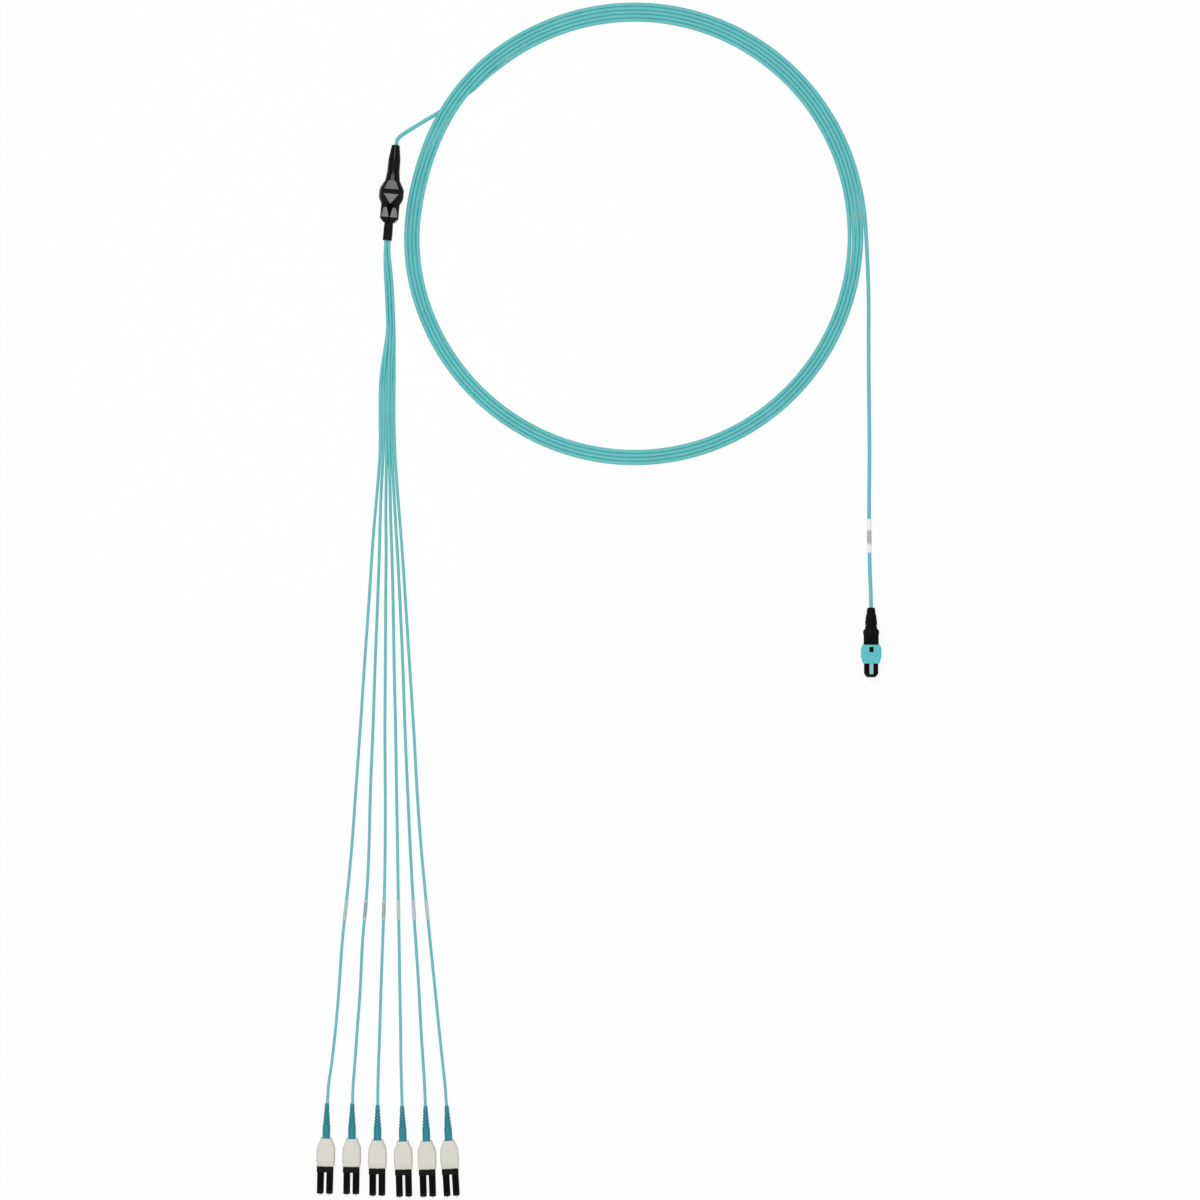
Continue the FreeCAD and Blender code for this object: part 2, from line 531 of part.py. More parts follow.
# Flared cap that closes the body on the trunk's side: flat above and below, with a groove along its
# crest and a notch that points at the valley between the lobes.
cap = new_body("breakout_cap")
fall = "cap_length - cap_flare - cap_band"
turned(cap, [("fan_bore", "relief_length"), ("relief_end_radius", "relief_length"),
             ("cap_radius - (cap_radius - relief_end_radius) * cap_ease / cap_flare",
              "relief_length + cap_flare - cap_ease"),
             ("cap_radius", "relief_length + cap_flare + cap_ease"),
             ("cap_radius", "relief_length + cap_flare + cap_band - cap_ease"),
             ("cap_radius - (cap_radius - cap_end_radius) * cap_ease / (%s)" % fall,
              "relief_length + cap_flare + cap_band + cap_ease"),
             ("cap_end_radius", cap_end), ("fan_bore", cap_end)])
for side in (-1, 1):
    bar(cap, rectangle("2 * cap_radius", "cap_radius", "0",
                       "%d * (cap_height + cap_radius) / 2" % side),
        "relief_length", "cap_length", cut=True)
    sunk_facet(cap, side, *SLOPE)
    bar(cap, rectangle("2 * cap_radius", "2 * crest_depth", "0", "%d * cap_height / 2" % side),
        "crest_start", "crest_end - crest_start", cut=True)
    sunk_facet(cap, side, *NOTCH)
bar(cap, rectangle("fanout_width", "fanout_height"), "%s - body_spigot" % cap_end, "body_spigot",
    cut=True)
place(cap, breakout_base, BREAKOUT[2])

# Two body shells, each half of a pair of rounded lobes, around the space where the fibres part.
shell_gap = "(fanout_width - 2 * cap_wall)"
crest = "lobe_height / 2"
lobe_section = [("0", crest + " - lobe_valley"), ("lobe_width / 2 - lobe_top / 2", crest),
                ("lobe_width / 2 + lobe_top / 2", crest), ("lobe_width", crest + " - lobe_slope")]
lobe_section += [(across, "-(%s)" % up) for across, up in reversed(lobe_section)]
lobe_section += [("-(%s)" % across, up) for across, up in reversed(lobe_section) if across != "0"]
for side, name in ((1, "top"), (-1, "base")):
    half = new_body("breakout_body_" + name)
    bar(half, lobe_section, cap_end, "body_length")
    round_edges(half, "lobe_round", lambda middle, along: lengthwise(middle, along)
                and abs(middle.x) > value("lobe_top") / 2)
    for way in (-1, 1):
        trim(half, "XY_Plane", [(body_end + " - lobe_corner", "%d * lobe_width" % way),
                                (body_end, "%d * (lobe_width - lobe_corner)" % way),
                                (body_end, "%d * lobe_width" % way)], "lobe_height")
    trim(half, "YZ_Plane", [(cap_end + " + lobe_fall_start", "%d * %s" % (side, crest)),
                            (cap_end + " + lobe_fall_start + lobe_fall",
                             "%d * (%s - lobe_fall_depth)" % (side, crest)),
                            (body_end, "%d * (%s - lobe_fall_depth)" % (side, crest)),
                            (body_end, "%d * %s" % (side, crest))], "2 * lobe_width")
    bar(half, rectangle("fanout_width - 2 * slide_gap", "fanout_height - 2 * slide_gap"),
        "%s - body_spigot" % cap_end, "body_spigot")
    bar(half, rectangle(shell_gap, "fanout_height - cap_wall"), "%s - body_spigot" % cap_end,
        "body_spigot + body_length", cut=True)
    bar(half, rectangle("2 * lobe_width", "lobe_height", "0", "%d * lobe_height / 2" % -side),
        "%s - body_spigot" % cap_end, "body_spigot + body_length", cut=True)
    place(half, breakout_base, BREAKOUT[2])

# Oval sleeve that the six legs leave through, two side by side and three high.
tail = new_body("breakout_tail_sleeve")
slab(tail, mirrored([("tail_neck_width / 2", body_end),
                     ("tail_neck_width / 2", "%s + tail_shoulder" % body_end),
                     ("tail_width / 2", "%s + 2 * tail_shoulder" % body_end),
                     ("tail_width / 2", breakout_end)]), "tail_height")
round_edges(tail, "tail_round", level)
bar(tail, rectangle("2 * leg_spacing + 2 * slide_gap", "3 * leg_spacing + 2 * slide_gap"), body_end,
    "tail_length", cut=True)
place(tail, breakout_base, BREAKOUT[2])


def beside_axis(base, angle, along, across):
    """Point in the row frame at a distance along and across a connector's axis."""
    turn = math.radians(angle)
    return (base[0] + along * math.sin(turn) + across * math.cos(turn),
            base[1] - along * math.cos(turn) + across * math.sin(turn))


# ---- cables ----------------------------------------------------------------------------------
def cord_tube(label, points, diameter):
    """Plain tube of a cable: straight runs joined by arcs as large as the runs allow."""
    corners = [Vector(*point) for point in points]
    edges = []
    radii = []
    here = corners[0]
    for before, corner, after in zip(corners, corners[1:], corners[2:]):
        inward = (corner - before).normalize()
        outward = (after - corner).normalize()
        half_turn = inward.getAngle(outward) / 2
        reach = 0.45 * min((corner - before).Length, (after - corner).Length)
        radii.append(reach / math.tan(half_turn))
        start = corner - inward * reach
        end = corner + outward * reach
        bisector = (outward - inward).normalize()
        middle = corner + bisector * radii[-1] * (1 / math.cos(half_turn) - 1)
        edges.append(Part.LineSegment(here, start).toShape())
        edges.append(Part.Arc(start, middle, end).toShape())
        here = end
    edges.append(Part.LineSegment(here, corners[-1]).toShape())
    path = Part.Wire(edges)
    section = Part.Wire(Part.Circle(corners[0], corners[1] - corners[0], diameter / 2).toShape())
    tube = doc.addObject("Part::Feature", label)
    tube.Label = label
    tube.Shape = path.makePipeShell([section], True, False)
    expected = math.pi * diameter ** 2 / 4 * path.Length
    print("%-12s length %7.1f  volume/expected %.5f  radii %s" % (
        label, path.Length, tube.Shape.Volume / expected, " ".join("%.0f" % radius for radius in radii)))
    subparts.append(tube)
    return path.Length


trunk_low = 1.35                # height of the trunk's centre where it lies on the surface
half_plug = value(ferrule_tip) / 2
plug_axis = value("sleeve_height / 2")

# Trunk from the multi-fibre plug to the coil.
TRUNK_LEAD = [
    (0, half_plug - value("barrel_start"), plug_axis),
    (0, half_plug + value("trunk_straight"), plug_axis),
    (-0.9, 50, 1.95), (-1.3, 92, 1.8), (-0.8, 130, trunk_low), (-1.3, 168, trunk_low),
    (-1.6, 203, trunk_low), (-1.4, 234, trunk_low), (-2.2, 257, trunk_low),
]
cord_tube("trunk_lead", TRUNK_LEAD, value("trunk_diameter"))

# Coil: one closed ring of its outer shape, twice as high where the strands ride over the trunk's end.
ring_inner = "(coil_first_radius - trunk_diameter / 2)"
ring_outer = "(coil_first_radius + coil_turns * strand_pitch + trunk_diameter / 2)"


def ring_sector(name, height, start, angle):
    """Part of a flat ring round the coil's centre, between the inner and outer strand."""
    rounds = []
    for radius in (ring_outer, ring_inner):
        cylinder = doc.addObject("Part::Cylinder", name)
        cylinder.setExpression("Radius", bound(radius))
        cylinder.setExpression("Height", bound(height))
        cylinder.setExpression("Angle", bound(angle))
        rounds.append(cylinder)
    cut = doc.addObject("Part::Cut", name + "_ring")
    cut.Base, cut.Tool = rounds
    cut.Placement = FreeCAD.Placement(Vector(0, 0, 0), Rotation(Vector(0, 0, 1), value(start)))
    return cut


coil = doc.addObject("Part::MultiFuse", "trunk_coil")
coil.Label = "trunk_coil"
coil.Shapes = [ring_sector("turns", "trunk_diameter + strand_slack", "0", "360"),
               ring_sector("crossing", "2 * trunk_diameter + strand_slack", "crossing_start",
                           "crossing_angle")]
place(coil, ("coil_x", "coil_y", "0"))
subparts.append(coil)

# Trunk from under the coil's strands to the breakout body.
trunk_stop = value("breakout_crimp_start + breakout_crimp_length")
TRUNK_TAIL = [(-296.8, 357.5, trunk_low), (-304.4, 353.0, 1.7), (-311.0, 348.8, 2.8),
              (-316.8, 345.0, 4.2), (-320.4, 342.1, 5.3)]
TRUNK_TAIL += [beside_axis(BREAKOUT, BREAKOUT[2], along, 0) + (breakout_axis,)
               for along in (-value("tail_straight"), trunk_stop)]
cord_tube("trunk_tail", TRUNK_TAIL, value("trunk_diameter"))

# Legs: distance along Y, then the X and height of each leg's centre there.
leg_low = 1.05                  # height of a leg's centre where it lies on the surface
LEG_STATIONS = [
    (256, (-329.7, 2.3), (-329.7, 4.4), (-327.6, 2.3), (-328.1, 6.0), (-326.0, 6.0), (-326.0, 3.9)),
    (243, (-329.1, 1.05), (-329.1, 3.15), (-327.0, 1.05), (-327.0, 3.15), (-324.9, 3.15), (-324.9, 1.05)),
    (228, (-328.3, 1.05), (-328.3, 3.15), (-326.2, 1.05), (-326.2, 3.15), (-324.1, 3.15), (-324.1, 1.05)),
    (212, (-327.7, 1.05), (-327.7, 3.2), (-325.6, 1.05), (-325.6, 3.2), (-323.5, 3.2), (-323.5, 1.05)),
    (195, (-330.6, 1.05), (-329.0, 2.65), (-327.2, 1.05), (-327.0, 3.2), (-325.0, 2.7), (-323.4, 1.05)),
    (178, (-332.9, 1.05), (-330.8, 1.05), (-328.7, 1.05), (-327.1, 2.65), (-325.5, 1.05), (-323.4, 1.05)),
    (155, (-333.2, 1.05), (-331.1, 1.05), (-329.0, 1.05), (-327.4, 2.65), (-325.8, 1.05), (-323.7, 1.05)),
    (132, (-332.7, 1.05), (-330.6, 1.05), (-328.5, 1.05), (-326.9, 2.65), (-325.3, 1.05), (-323.2, 1.05)),
    (110, (-334.4, 1.05), (-332.0, 1.05), (-329.0, 1.05), (-326.4, 1.1), (-324.1, 1.05), (-321.8, 1.05)),
    (86, (-336.6, 1.05), (-333.0, 1.05), (-329.2, 1.05), (-326.0, 1.05), (-322.9, 1.05), (-320.0, 1.05)),
    (62, (-338.5, 1.05), (-333.5, 1.05), (-328.9, 1.05), (-325.1, 1.05), (-321.3, 1.05), (-318.0, 1.05)),
    (28, (-340.6, 1.05), (-334.7, 1.05), (-329.3, 1.05), (-324.2, 1.05), (-319.6, 1.05), (-315.8, 1.05)),
    (-15, (-343.7, 1.05), (-336.5, 1.05), (-329.5, 1.05), (-323.6, 1.05), (-317.6, 1.05), (-313.1, 1.05)),
    (-60, (-346.6, 1.05), (-337.9, 1.05), (-329.9, 1.05), (-322.5, 1.05), (-316.2, 1.05), (-310.1, 1.05)),
    (-102, (-349.7, 1.05), (-339.8, 1.05), (-329.5, 1.05), (-321.9, 1.05), (-314.3, 1.05), (-308.0, 1.05)),
    (-139, (-352.2, 1.05), (-340.5, 1.05), (-329.6, 1.05), (-321.2, 1.05), (-312.7, 1.05), (-305.3, 1.05)),
    (-171, (-355.3, 1.4), (-342.0, 1.4), (-330.1, 1.4), (-320.8, 1.4), (-310.9, 1.4), (-302.3, 1.4)),
    (-203, (-358.9, 1.4), (-345.2, 1.4), (-331.3, 1.4), (-320.1, 1.4), (-308.9, 1.4), (-299.1, 1.4)),
    (-235, (-360.9, 1.05), (-346.4, 1.05), (-332.5, 1.05), (-319.7, 1.05), (-306.7, 1.05), (-295.8, 1.05)),
    (-264, (-363.4, 1.05), (-348.7, 1.05), (-333.3, 1.05), (-319.1, 1.05), (-305.3, 1.05), (-292.9, 1.05)),
    (-288, (-366.1, 1.4), (-350.3, 1.4), (-334.2, 1.4), (-318.9, 1.4), (-303.6, 1.4), (-290.3, 1.4)),
]
# Place of each leg in the tail sleeve, in leg spacings across and up from the axis.
LEG_EXIT = [(-0.5, -1), (-0.5, 0), (0.5, -1), (-0.5, 1), (0.5, 1), (0.5, 0)]
# Twin plugs: where the leg enters the boot, and the turn of the connector's axis in degrees.
TWIN_PLUGS = [(-368.9, -312.5, -1.4), (-351.8, -312.8, -0.6), (-334.6, -313.8, -0.2),
              (-318.0, -314.5, 1.35), (-302.2, -314.5, 1.75), (-287.8, -314.1, 3.3)]
leg_axis = value("shell_height / 2")
leg_stop = value("twin_boot_length + twin_spigot_length")
legs = []
for number, (entry, exit_place) in enumerate(zip(TWIN_PLUGS, LEG_EXIT)):
    across = exit_place[0] * value("leg_spacing")
    height = breakout_axis + exit_place[1] * value("leg_spacing")
    route = [beside_axis(BREAKOUT, BREAKOUT[2], value(breakout_end) + beyond, across) + (height,)
             for beyond in (-value("leg_inset"), value("exit_straight"))]
    route += [(station[number + 1][0], station[0], station[number + 1][1]) for station in LEG_STATIONS]
    route += [beside_axis(entry, entry[2], along, 0) + (leg_axis,)
              for along in (-value("entry_straight"), leg_stop)]
    cord_tube("leg_%d" % (number + 1), route, value("leg_diameter"))
    legs.append(route)

# Fibres between the end of the trunk's jacket and the six legs.
fibres = doc.addObject("Part::Feature", "breakout_fibres")
fibres.Label = "breakout_fibres"
fan_start = trunk_stop + value("jacket_clearance")
fan_end = value("%s - leg_inset - jacket_clearance" % breakout_end)
strands = []
for across, up in LEG_EXIT:
    near = Vector(across * value("core_pitch"), -fan_start, up * value("core_pitch"))
    far = Vector(across * value("leg_spacing"), -fan_end, up * value("leg_spacing"))
    strands.append(Part.makeCylinder(value("core_radius"), (far - near).Length, near, far - near))
fibres.Shape = Part.makeCompound(strands)
place(fibres, breakout_base, BREAKOUT[2])
subparts.append(fibres)


def wrapped_label(name, start, end, cable, length, share):
    """Label rolled round a cable, with its middle at a share of the way between two route points."""
    tubes = []
    for radius in ("%s / 2 + label_gap + label_wall" % cable, "%s / 2 + label_gap" % cable):
        cylinder = doc.addObject("Part::Cylinder", name + "_roll")
        cylinder.setExpression("Radius", bound(radius))
        cylinder.setExpression("Height", bound(length))
        tubes.append(cylinder)
    label = doc.addObject("Part::Cut", name)
    label.Base, label.Tool = tubes
    start, end = Vector(*start), Vector(*end)
    along = (end - start).normalize()
    middle = start + (end - start) * value(share)
    base = ["%.4f - %.6f * %s / 2" % (middle[axis], along[axis], length) for axis in range(3)]
    place(label, base, turn=Rotation(Vector(0, 0, 1), along))
    return label


trunk_label = wrapped_label("trunk_label", TRUNK_LEAD[2], TRUNK_LEAD[3], "trunk_diameter",
                            "trunk_label_length", "trunk_label_share")
trunk_label.Label = "trunk_label"
subparts.append(trunk_label)
leg_labels = doc.addObject("Part::Compound", "leg_labels")
leg_labels.Label = "leg_labels"
leg_labels.Links = [wrapped_label("leg_label", route[18], route[19], "leg_diameter",
                                  "leg_label_length", "leg_label_share") for route in legs]
subparts.append(leg_labels)


# ---- twin plugs ------------------------------------------------------------------------------
shell_end = "(twin_boot_length + shell_length)"
plug_end = "(%s + tie_length + plug_length)" % shell_end
cavity_start = "(%s - shell_cavity)" % shell_end
pin_shoulder = "(%s + pin_stick_out - pin_length)" % plug_end
RIB_COUNT = 5


def twin_boot(label):
    """Tapered rubber boot with turned grooves, and a spigot that plugs into the shell's neck."""
    body = new_body(label)
    inside = "leg_diameter / 2 + jacket_clearance"
    surface = "twin_boot_tip + (twin_boot_end - twin_boot_tip) * (%s) / twin_boot_taper"
    corners = [(inside, "0"), ("twin_boot_tip", "0")]
    for count in reversed(range(RIB_COUNT)):
        begin = "twin_boot_taper - rib_inset - %d * rib_pitch" % count
        radii = [surface % along for along in (begin, begin + " + rib_width")]
        corners += groove_corners(radii, begin, "rib_width", "rib_depth")
    corners += [("twin_boot_end", "twin_boot_taper"), ("twin_boot_end", "twin_boot_length"),
                ("twin_boot_spigot", "twin_boot_length"),
                ("twin_boot_spigot", "twin_boot_length + twin_spigot_length"),
                (inside, "twin_boot_length + twin_spigot_length")]
    turned(body, corners)
    return body


def twin_shell(label):
    """Ivory shell: narrow neck, shoulders, a slimmer lip and a hollow front that takes both plugs."""
    body = new_body(label)
    shoulder_end = "twin_boot_length + shell_neck + shell_ramp"
    lip_start = "%s - shell_lip" % shell_end
    slab(body, mirrored([("shell_neck_width / 2", "twin_boot_length"),
                         ("shell_neck_width / 2", "twin_boot_length + shell_neck - shell_ramp"),
                         ("shell_rear_width / 2", shoulder_end), ("shell_wide_width / 2", lip_start)]),
         "shell_height")
    shoulder = -value(shoulder_end)
    round_edges(body, "shoulder_round", lambda middle, along: abs(middle.y - shoulder) < 0.01)
    round_edges(body, "shell_round", level)
    lip_width = "(shell_wide_width - 2 * shell_lip_step)"
    bar(body, rectangle(lip_width, "shell_height - 2 * shell_lip_step"), lip_start, "shell_lip")
    round_edges(body, "shell_round - shell_lip_step", lambda middle, along: lengthwise(middle, along)
                and middle.y < -value(lip_start))
    bar(body, rectangle("plug_pitch + plug_width + 2 * shell_clearance",
                        "plug_width + 2 * shell_clearance"), cavity_start, "shell_cavity", cut=True)
    bore(body, "twin_boot_spigot", "twin_boot_length", "twin_spigot_length")
    bore(body, "relief_bore", "twin_boot_length", "%s - twin_boot_length" % cavity_start)
    return body


def twin_plug(label):
    """Black moulding: two square plugs joined at the rear, each with a latch arm, and a tie bar that
    presses both latches."""
    body = new_body(label)
    plug_start = "(%s + shell_clearance)" % cavity_start
    for side in (-1, 1):
        bar(body, rectangle("plug_width", "plug_width", "%d * plug_pitch / 2" % side), plug_start,
            "%s - %s" % (plug_end, plug_start))
    nose = -value(plug_end)
    round_edges(body, "plug_round", lambda middle, along: middle.y < nose + 0.01)
    bar(body, rectangle("plug_pitch", "plug_width"), plug_start, "shell_cavity / 4")
    bar(body, rectangle("tie_width", "tie_thickness", "0", "tie_top - tie_thickness / 2"),
        "%s + shell_clearance" % shell_end, "tie_length")
    for side in (-1, 1):
        across = "%d * plug_pitch / 2" % side
        root = "%s - latch_root" % plug_end
        rise = "%s + tie_length / 2" % shell_end
        rib(body, [(root, "plug_width / 2 - latch_sink"), (root, "plug_width / 2 + latch_thickness / 2"),
                   (rise, "tie_top"), (rise, "tie_top - latch_thickness"),
                   (root + " - latch_run", "plug_width / 2 - latch_sink")], "latch_width", across)
        catch = "%s + latch_catch" % shell_end
        rib(body, [(catch, "tie_top - catch_floor"), (catch, "tie_top - catch_crest"),
                   (catch + " + latch_catch_length", "tie_top - catch_slope"),
                   (catch + " + latch_catch_length", "tie_top - catch_floor")],
            "latch_catch_width", across)
        bore(body, "pin_cavity_radius", plug_start, "%s - %s" % (pin_shoulder, plug_start), across)
        bore(body, "socket_lip_radius", pin_shoulder, "socket_lip", across)
        bore(body, "socket_radius", "%s + socket_lip" % pin_shoulder,
             "%s - %s - socket_lip" % (plug_end, pin_shoulder), across)
    return body


def twin_ferrule(label):
    """Ceramic pin pressed into its metal flange and tail."""
    body = new_body(label)
    tip = "(%s + pin_stick_out)" % plug_end
    turned(body, [("0", tip), ("pin_radius - pin_chamfer", tip), ("pin_radius", tip + " - pin_chamfer"),
                  ("pin_radius", pin_shoulder), ("pin_flange_radius", pin_shoulder),
                  ("pin_flange_radius", pin_shoulder + " - pin_flange_length"),
                  ("pin_tail_radius", pin_shoulder + " - pin_flange_length"),
                  ("pin_tail_radius", pin_shoulder + " - pin_flange_length - pin_tail_length"),
                  ("0", pin_shoulder + " - pin_flange_length - pin_tail_length")])
    return body


for number, (entry_x, entry_y, angle) in enumerate(TWIN_PLUGS, start=1):
    base = (str(entry_x), str(entry_y), "shell_height / 2")
    place(twin_boot("lc%d_boot" % number), base, angle)
    place(twin_shell("lc%d_shell" % number), base, angle)
    place(twin_plug("lc%d_plug" % number), base, angle)
    for side, letter in ((-1, "a"), (1, "b")):
        beside = ("%s + %d * plug_pitch / 2 * cos(%s deg)" % (entry_x, side, angle),
                  "%s + %d * plug_pitch / 2 * sin(%s deg)" % (entry_y, side, angle), base[2])
        place(twin_ferrule("lc%d_ferrule_%s" % (number, letter)), beside, angle)

# ---- checks and export -----------------------------------------------------------------------
doc.recompute()
failed = [item.Label for item in doc.Objects if "Invalid" in item.State or "Error" in item.State]
failed += [item.Label for item in subparts if item.Shape.isNull() or not item.Shape.isValid()]
if failed:
    raise RuntimeError("failed: " + ", ".join(sorted(set(failed))))
os.makedirs("parts", exist_ok=True)
for item in subparts:
    item.Shape.exportStep(os.path.join("parts", item.Label + ".step"))
print("%d sub-parts written" % len(subparts))
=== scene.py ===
import bmesh
import bpy
import math
from mathutils import Matrix, Vector


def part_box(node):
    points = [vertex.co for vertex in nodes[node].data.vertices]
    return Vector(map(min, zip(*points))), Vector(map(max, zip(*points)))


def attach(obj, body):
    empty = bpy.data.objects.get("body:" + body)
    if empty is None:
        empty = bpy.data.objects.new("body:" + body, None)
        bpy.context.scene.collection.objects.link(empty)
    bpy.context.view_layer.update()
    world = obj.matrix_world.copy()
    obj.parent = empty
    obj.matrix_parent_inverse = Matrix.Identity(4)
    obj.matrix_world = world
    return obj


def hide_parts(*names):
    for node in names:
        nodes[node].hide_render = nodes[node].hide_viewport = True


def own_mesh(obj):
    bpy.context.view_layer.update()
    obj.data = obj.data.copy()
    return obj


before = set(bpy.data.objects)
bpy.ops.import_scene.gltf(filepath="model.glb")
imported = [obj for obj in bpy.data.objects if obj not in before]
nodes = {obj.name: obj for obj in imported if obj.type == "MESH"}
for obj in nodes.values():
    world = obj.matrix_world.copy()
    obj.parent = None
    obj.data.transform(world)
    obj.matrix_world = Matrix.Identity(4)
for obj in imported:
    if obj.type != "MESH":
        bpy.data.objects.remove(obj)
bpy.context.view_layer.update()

# ---- the surface, the light and the camera ----------------------------------------------------
# A white table in soft daylight, seen from straight above, as harnesses are laid out for inspection.
# Rays that the camera, gloss or glass sends past the harness see plain white.
SEEN_FROM_ABOVE = (-0.1838, 0.0288)     # middle of the view on the table
VIEW_WIDTH = 0.8148
LONG_LENS, SENSOR = 135.0, 36.0
FURTHEST_SEEN = 50.0

scene = bpy.context.scene
scene.view_settings.view_transform = "Standard"
camera = bpy.data.objects.new("camera", bpy.data.cameras.new("camera"))
camera.data.lens = LONG_LENS
camera.data.sensor_width = SENSOR
camera.location = (*SEEN_FROM_ABOVE, VIEW_WIDTH * LONG_LENS / SENSOR)
camera.data.clip_end = FURTHEST_SEEN
scene.collection.objects.link(camera)
scene.camera = camera


def straight_rays(tree):
    """1 for rays that leave the camera, a gloss or a glass, and 0 for those that carry light."""
    path = tree.nodes.new("ShaderNodeLightPath")
    total = None
    for name in ("Is Camera Ray", "Is Glossy Ray", "Is Transmission Ray"):
        if total is None:
            total = path.outputs[name]
            continue
        larger = tree.nodes.new("ShaderNodeMath")
        larger.operation = "MAXIMUM"
        tree.links.new(total, larger.inputs[0])
        tree.links.new(path.outputs[name], larger.inputs[1])
        total = larger.outputs[0]
    return total


WHITE = (1.0, 1.0, 1.0, 1.0)
SKY_STRENGTH = 0.40
world = bpy.data.worlds.new("soft_sky")
scene.world = world
world.use_nodes = True
world.node_tree.nodes.clear()
sky, backdrop, chosen, output = [world.node_tree.nodes.new("ShaderNode" + kind) for kind in
                                 ("Background", "Background", "MixShader", "OutputWorld")]
sky.inputs["Color"].default_value = WHITE
sky.inputs["Strength"].default_value = SKY_STRENGTH
backdrop.inputs["Color"].default_value = WHITE
world.node_tree.links.new(straight_rays(world.node_tree), chosen.inputs[0])
world.node_tree.links.new(sky.outputs[0], chosen.inputs[1])
world.node_tree.links.new(backdrop.outputs[0], chosen.inputs[2])
world.node_tree.links.new(chosen.outputs[0], output.inputs["Surface"])

TABLE_SIZE = 8.0
TABLE_GLOW = 0.90                       # share of the table's white that shadows don't reach
table_mesh = bpy.data.meshes.new("table")
half = TABLE_SIZE / 2
table_mesh.from_pydata([(-half, -half, 0), (half, -half, 0), (half, half, 0), (-half, half, 0)], [],
                       [(0, 1, 2, 3)])
table = bpy.data.objects.new("table", table_mesh)
scene.collection.objects.link(table)
table_white = bpy.data.materials.new("table_white")
table_white.use_nodes = True
tree = table_white.node_tree
tree.nodes.clear()
matt, glow, chosen, share, output = [tree.nodes.new("ShaderNode" + kind) for kind in
                                     ("BsdfDiffuse", "Emission", "MixShader", "Math", "OutputMaterial")]
matt.inputs["Color"].default_value = WHITE
glow.inputs["Color"].default_value = WHITE
share.operation = "MULTIPLY"
share.inputs[1].default_value = TABLE_GLOW
tree.links.new(straight_rays(tree), share.inputs[0])
tree.links.new(share.outputs[0], chosen.inputs[0])
tree.links.new(matt.outputs[0], chosen.inputs[1])
tree.links.new(glow.outputs[0], chosen.inputs[2])
tree.links.new(chosen.outputs[0], output.inputs["Surface"])
table_mesh.materials.append(table_white)

# Two lamps hang high to the left of the harness, one past its far end and one past its near end, so
# that sloping faces catch them and flat ones don't: place, width, power in watts.
LAMPS = {"far_lamp": ((-0.38, 1.07, 2.0), 0.34, 14.0), "near_lamp": ((-0.50, -0.51, 2.0), 0.25, 12.5)}
for name, (place, width, power) in LAMPS.items():
    lamp = bpy.data.lights.new(name, "AREA")
    lamp.size = width
    lamp.energy = power
    holder = bpy.data.objects.new(name, lamp)
    holder.location = place
    aim = Vector((*SEEN_FROM_ABOVE, 0)) - Vector(place)
    holder.rotation_euler = aim.to_track_quat("-Z", "Y").to_euler()
    holder.visible_camera = False
    scene.collection.objects.link(holder)


# ---- ferrule of the multi-fibre plug ------------------------------------------------------------
# A dark moulded resin block that holds twelve glass fibres in a row, polished flush at the mating end.
# The fibres come in as a coated ribbon, and a steel clamp takes the spring's push at the rear.
RESIN_BLACK = (0.022, 0.022, 0.022)
CLAMP_GREY = (0.48, 0.48, 0.47)
COATING_TEAL = (0.10, 0.42, 0.40)
GLASS_PALE = (0.72, 0.76, 0.78)
FIBRE_COUNT, FIBRE_PITCH, FIBRE_DIAMETER, FIBRE_PROUD = 12, 0.00025, 0.000125, 0.00001
FIBRE_SIDES = 16
CLOUD_DETAIL, GRAIN_DETAIL = 3, 4       # how far the patches of tone and the grain break up
UNEVEN_GLOSS = 0.08                     # how far the roughness wanders to either side


def tone(tree, colour, spread, mottle):
    """A colour whose lightness wanders slightly over patches of the given size."""
    place = tree.nodes.new("ShaderNodeTexCoord")
    cloud = tree.nodes.new("ShaderNodeTexNoise")
    cloud.inputs["Scale"].default_value = 1 / spread
    cloud.inputs["Detail"].default_value = CLOUD_DETAIL
    lightness = tree.nodes.new("ShaderNodeMapRange")
    lightness.inputs["To Min"].default_value = 1 - 2 * mottle
    lightness.inputs["To Max"].default_value = 1 + 2 * mottle
    tinted = tree.nodes.new("ShaderNodeHueSaturation")
    tinted.inputs["Color"].default_value = (*colour, 1.0)
    tree.links.new(place.outputs["Object"], cloud.inputs["Vector"])
    tree.links.new(cloud.outputs["Fac"], lightness.inputs["Value"])
    tree.links.new(lightness.outputs["Result"], tinted.inputs["Value"])
    return tinted


